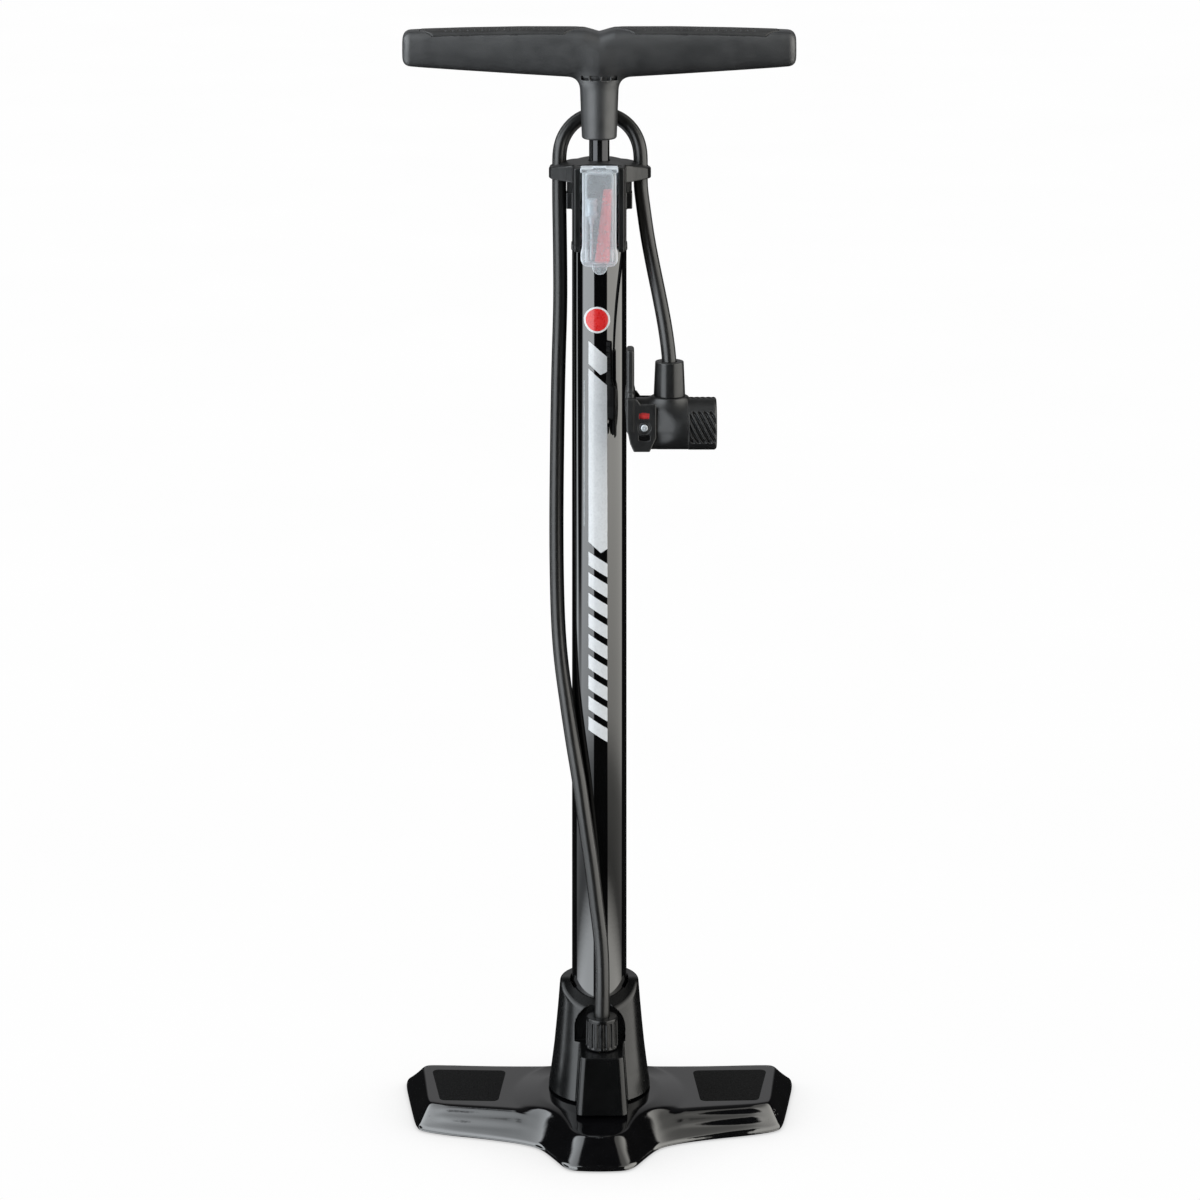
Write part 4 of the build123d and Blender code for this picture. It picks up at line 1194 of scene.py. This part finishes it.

# ------------------------------------------------ check valve spring, modelled as a fixed coil (the real one closes up as the poppet lifts)
turns = np.linspace(0, 2.6 / 0.95 * 2 * np.pi, 140)
helix = np.stack([2.7 * np.cos(turns), 2.7 * np.sin(turns), 18.75 + turns / (2 * np.pi) * 0.95], 1)
lead = np.gradient(helix, axis=0)
lead /= np.linalg.norm(lead, axis=1)[:, None]
o = tube_mesh("check_valve_coil", helix, lead, 0.22)
put(o, "steel_zinc", "frame", "steel_zinc", "check_valve_spring")
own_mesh(o)

# ================================================= CAD pieces that are carried over
replaced = set()
for ob in list(bpy.context.scene.objects):
    replaced |= set(ob.get("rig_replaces", []))
for name, ob in frame["nodes"].items():
    if name in replaced:
        continue
    ob.data.materials.clear()
    ob.data.materials.append(MAT[SLOT[name]])
    bev = ob.modifiers.new("edge", "BEVEL")
    bev.width = 0.00012 if name not in ("tread_pad_left", "tread_pad_right") else 0.00025
    bev.segments = 2
    bev.limit_method = "ANGLE"
    bev.angle_limit = math.radians(40)

# ============================================================== floor and light
def floor_mat():
    """Pale studio floor: near white to the camera with a soft contact shadow, dim to everything else."""
    m = bpy.data.materials.new("studio_floor")
    m.use_nodes = True
    nt = m.node_tree
    nt.nodes.clear()
    out = nt.nodes.new("ShaderNodeOutputMaterial")
    lp = nt.nodes.new("ShaderNodeLightPath")
    ao = nt.nodes.new("ShaderNodeAmbientOcclusion")
    ao.samples = 8
    ao.inputs["Distance"].default_value = 0.07
    tc = nt.nodes.new("ShaderNodeTexCoord")
    paper = maprange(nt, noise(nt, tc.outputs["Object"], 3.0, 3), 0.3, 0.7, 0.988, 0.995)
    glow = nt.nodes.new("ShaderNodeEmission")
    glow.inputs["Color"].default_value = (1, 1, 1, 1)
    nt.links.new(mathn(nt, "MULTIPLY", paper, maprange(nt, ao.outputs["AO"], 0.35, 1.0, 0.62, 1.0)), glow.inputs["Strength"])
    dim = nt.nodes.new("ShaderNodeBsdfDiffuse")
    dim.inputs["Color"].default_value = (0.42, 0.42, 0.42, 1)
    mix = nt.nodes.new("ShaderNodeMixShader")
    nt.links.new(lp.outputs["Is Camera Ray"], mix.inputs["Fac"])
    nt.links.new(dim.outputs[0], mix.inputs[1])
    nt.links.new(glow.outputs[0], mix.inputs[2])
    nt.links.new(mix.outputs[0], out.inputs["Surface"])
    return m


floor = mesh_from("studio_floor", [(-30, -30, -0.0004), (30, -30, -0.0004), (30, 30, -0.0004), (-30, 30, -0.0004)], [(0, 1, 2, 3)], smooth=False)
floor.data.materials.append(floor_mat())

scene = bpy.context.scene
floor.visible_glossy = False
world = bpy.data.worlds.new("studio")
scene.world = world
world.use_nodes = True
wt = world.node_tree
wt.nodes.clear()


def window(nt, val, a, b, soft):
    """1 between a and b, falling off over soft at each side."""
    up = maprange(nt, val, a - soft, a + soft, 0, 1)
    down = maprange(nt, val, b - soft, b + soft, 1, 0)
    return mathn(nt, "MULTIPLY", up, down)


def by_height(nt, el, stops):
    """Brightness against elevation in degrees, -90 to 90."""
    r = nt.nodes.new("ShaderNodeValToRGB")
    el01 = maprange(nt, el, -90, 90, 0, 1)
    pts = [((e + 90) / 180, v / 2) for e, v in stops]
    ce = r.color_ramp.elements
    ce[0].position, ce[0].color = pts[0][0], (pts[0][1],) * 3 + (1,)
    ce[1].position, ce[1].color = pts[-1][0], (pts[-1][1],) * 3 + (1,)
    for q, v in pts[1:-1]:
        e = ce.new(q)
        e.color = (v, v, v, 1)
    nt.links.new(el01, r.inputs["Fac"])
    return mathn(nt, "MULTIPLY", r.outputs["Color"], 2.0)


wtc = wt.nodes.new("ShaderNodeTexCoord")
wsep = wt.nodes.new("ShaderNodeSeparateXYZ")
wt.links.new(wtc.outputs["Generated"], wsep.inputs[0])
az = mathn(wt, "MULTIPLY", mathn(wt, "ARCTAN2", wsep.outputs["X"], mathn(wt, "MULTIPLY", wsep.outputs["Y"], -1.0)), 57.29578)
el = mathn(wt, "MULTIPLY", mathn(wt, "ARCSINE", wsep.outputs["Z"]), 57.29578)
height = by_height(wt, el, [(-90, 0.8), (-27, 0.9), (-24.5, 0.10), (-20.6, 0.20), (-18.6, 0.60), (-14.6, 0.78), (-9.5, 1.0),
                            (0, 1.15), (30, 1.15), (50, 0.75), (76, 0.46), (80, 0.0), (90, 0.0)])
side = mathn(wt, "MULTIPLY", mathn(wt, "ARCSINE", wsep.outputs["X"]), 57.29578)
over = maprange(wt, el, 42, 66, 0, 1)
ahead = maprange(wt, wsep.outputs["Y"], 0.30, 0.38, 1, 0)
lit = mathn(wt, "MULTIPLY", height, ahead)
lside = mathn(wt, "SUBTRACT", side, mathn(wt, "MULTIPLY", over, 14.0))
rside = mathn(wt, "ADD", side, mathn(wt, "MULTIPLY", over, 22.0))
left = mathn(wt, "MULTIPLY", window(wt, lside, -95, -22, 1.2), lit)
left = mathn(wt, "MULTIPLY", left, maprange(wt, side, -76, -70, 0, 1))
right = mathn(wt, "MULTIPLY", mathn(wt, "MULTIPLY", window(wt, rside, 33, 106, 1.2), lit), maprange(wt, el, 50, 66, 1, 0.5))
low = by_height(wt, el, [(-90, 0.0), (4, 0.0), (12, 1.0), (26, 1.0), (46, 0.15), (90, 0.0)])
back = mathn(wt, "MULTIPLY", mathn(wt, "SUBTRACT", 1.0, window(wt, az, -157, 157, 4)), low)


def glow(colour, strength, factor=None):
    e = wt.nodes.new("ShaderNodeBackground")
    e.inputs["Color"].default_value = (*colour, 1)
    if factor is None:
        e.inputs["Strength"].default_value = strength
    else:
        wt.links.new(mathn(wt, "MULTIPLY", factor, strength), e.inputs["Strength"])
    return e.outputs[0]


def plus(a, b):
    n = wt.nodes.new("ShaderNodeAddShader")
    wt.links.new(a, n.inputs[0])
    wt.links.new(b, n.inputs[1])
    return n.outputs[0]


studio = plus(plus(glow((0.92, 0.965, 1.0), 4.1, left), glow((1.0, 0.985, 0.93), 2.9, right)),
              plus(glow((1, 1, 1.02), 0.36, back), glow((1, 1, 1), 0.016)))
wo = wt.nodes.new("ShaderNodeOutputWorld")
wlp = wt.nodes.new("ShaderNodeLightPath")
wmix = wt.nodes.new("ShaderNodeMixShader")
wt.links.new(wlp.outputs["Is Camera Ray"], wmix.inputs["Fac"])
wt.links.new(studio, wmix.inputs[1])
wt.links.new(glow((1, 1, 1), 1.0), wmix.inputs[2])
wt.links.new(wmix.outputs[0], wo.inputs["Surface"])

# ======================================================================= camera
cam_data = bpy.data.cameras.new("camera")
cam = bpy.data.objects.new("camera", cam_data)
scene.collection.objects.link(cam)
scene.camera = cam
cam.location = (0, -2.12, 0.858)
cam.rotation_euler = (math.radians(90), 0, 0)
cam_data.sensor_width = 36
cam_data.lens = 3611 / 1200 * 36
cam_data.shift_x = 0.7 / 1200
cam_data.shift_y = -950 / 1200
cam_data.clip_start, cam_data.clip_end = 0.05, 100

rod = frame["bodies"]["rod_group"]


def drive(prop, expression, variables):
    fc = cam_data.driver_add(prop)
    fc.driver.type = "SCRIPTED"
    for var, target, path in variables:
        v = fc.driver.variables.new()
        v.name = var
        v.type = "SINGLE_PROP"
        v.targets[0].id = target
        v.targets[0].data_path = path
    fc.driver.expression = expression


# the view opens up as the handle rises, and the downward shift holds only at the photo position
drive("lens", "108.33 - 96.5 * h", [("h", rod, "location[2]")])
drive("shift_y", "(-0.79167 + 1.13 * h) if (abs(y + 2.12) < 0.0005 and abs(z - 0.858) < 0.0005) else 0.0",
      [("h", rod, "location[2]"), ("y", cam, "location[1]"), ("z", cam, "location[2]")])

scene.view_settings.view_transform = "Standard"
scene.view_settings.look = "None"
scene.view_settings.exposure = 0.0
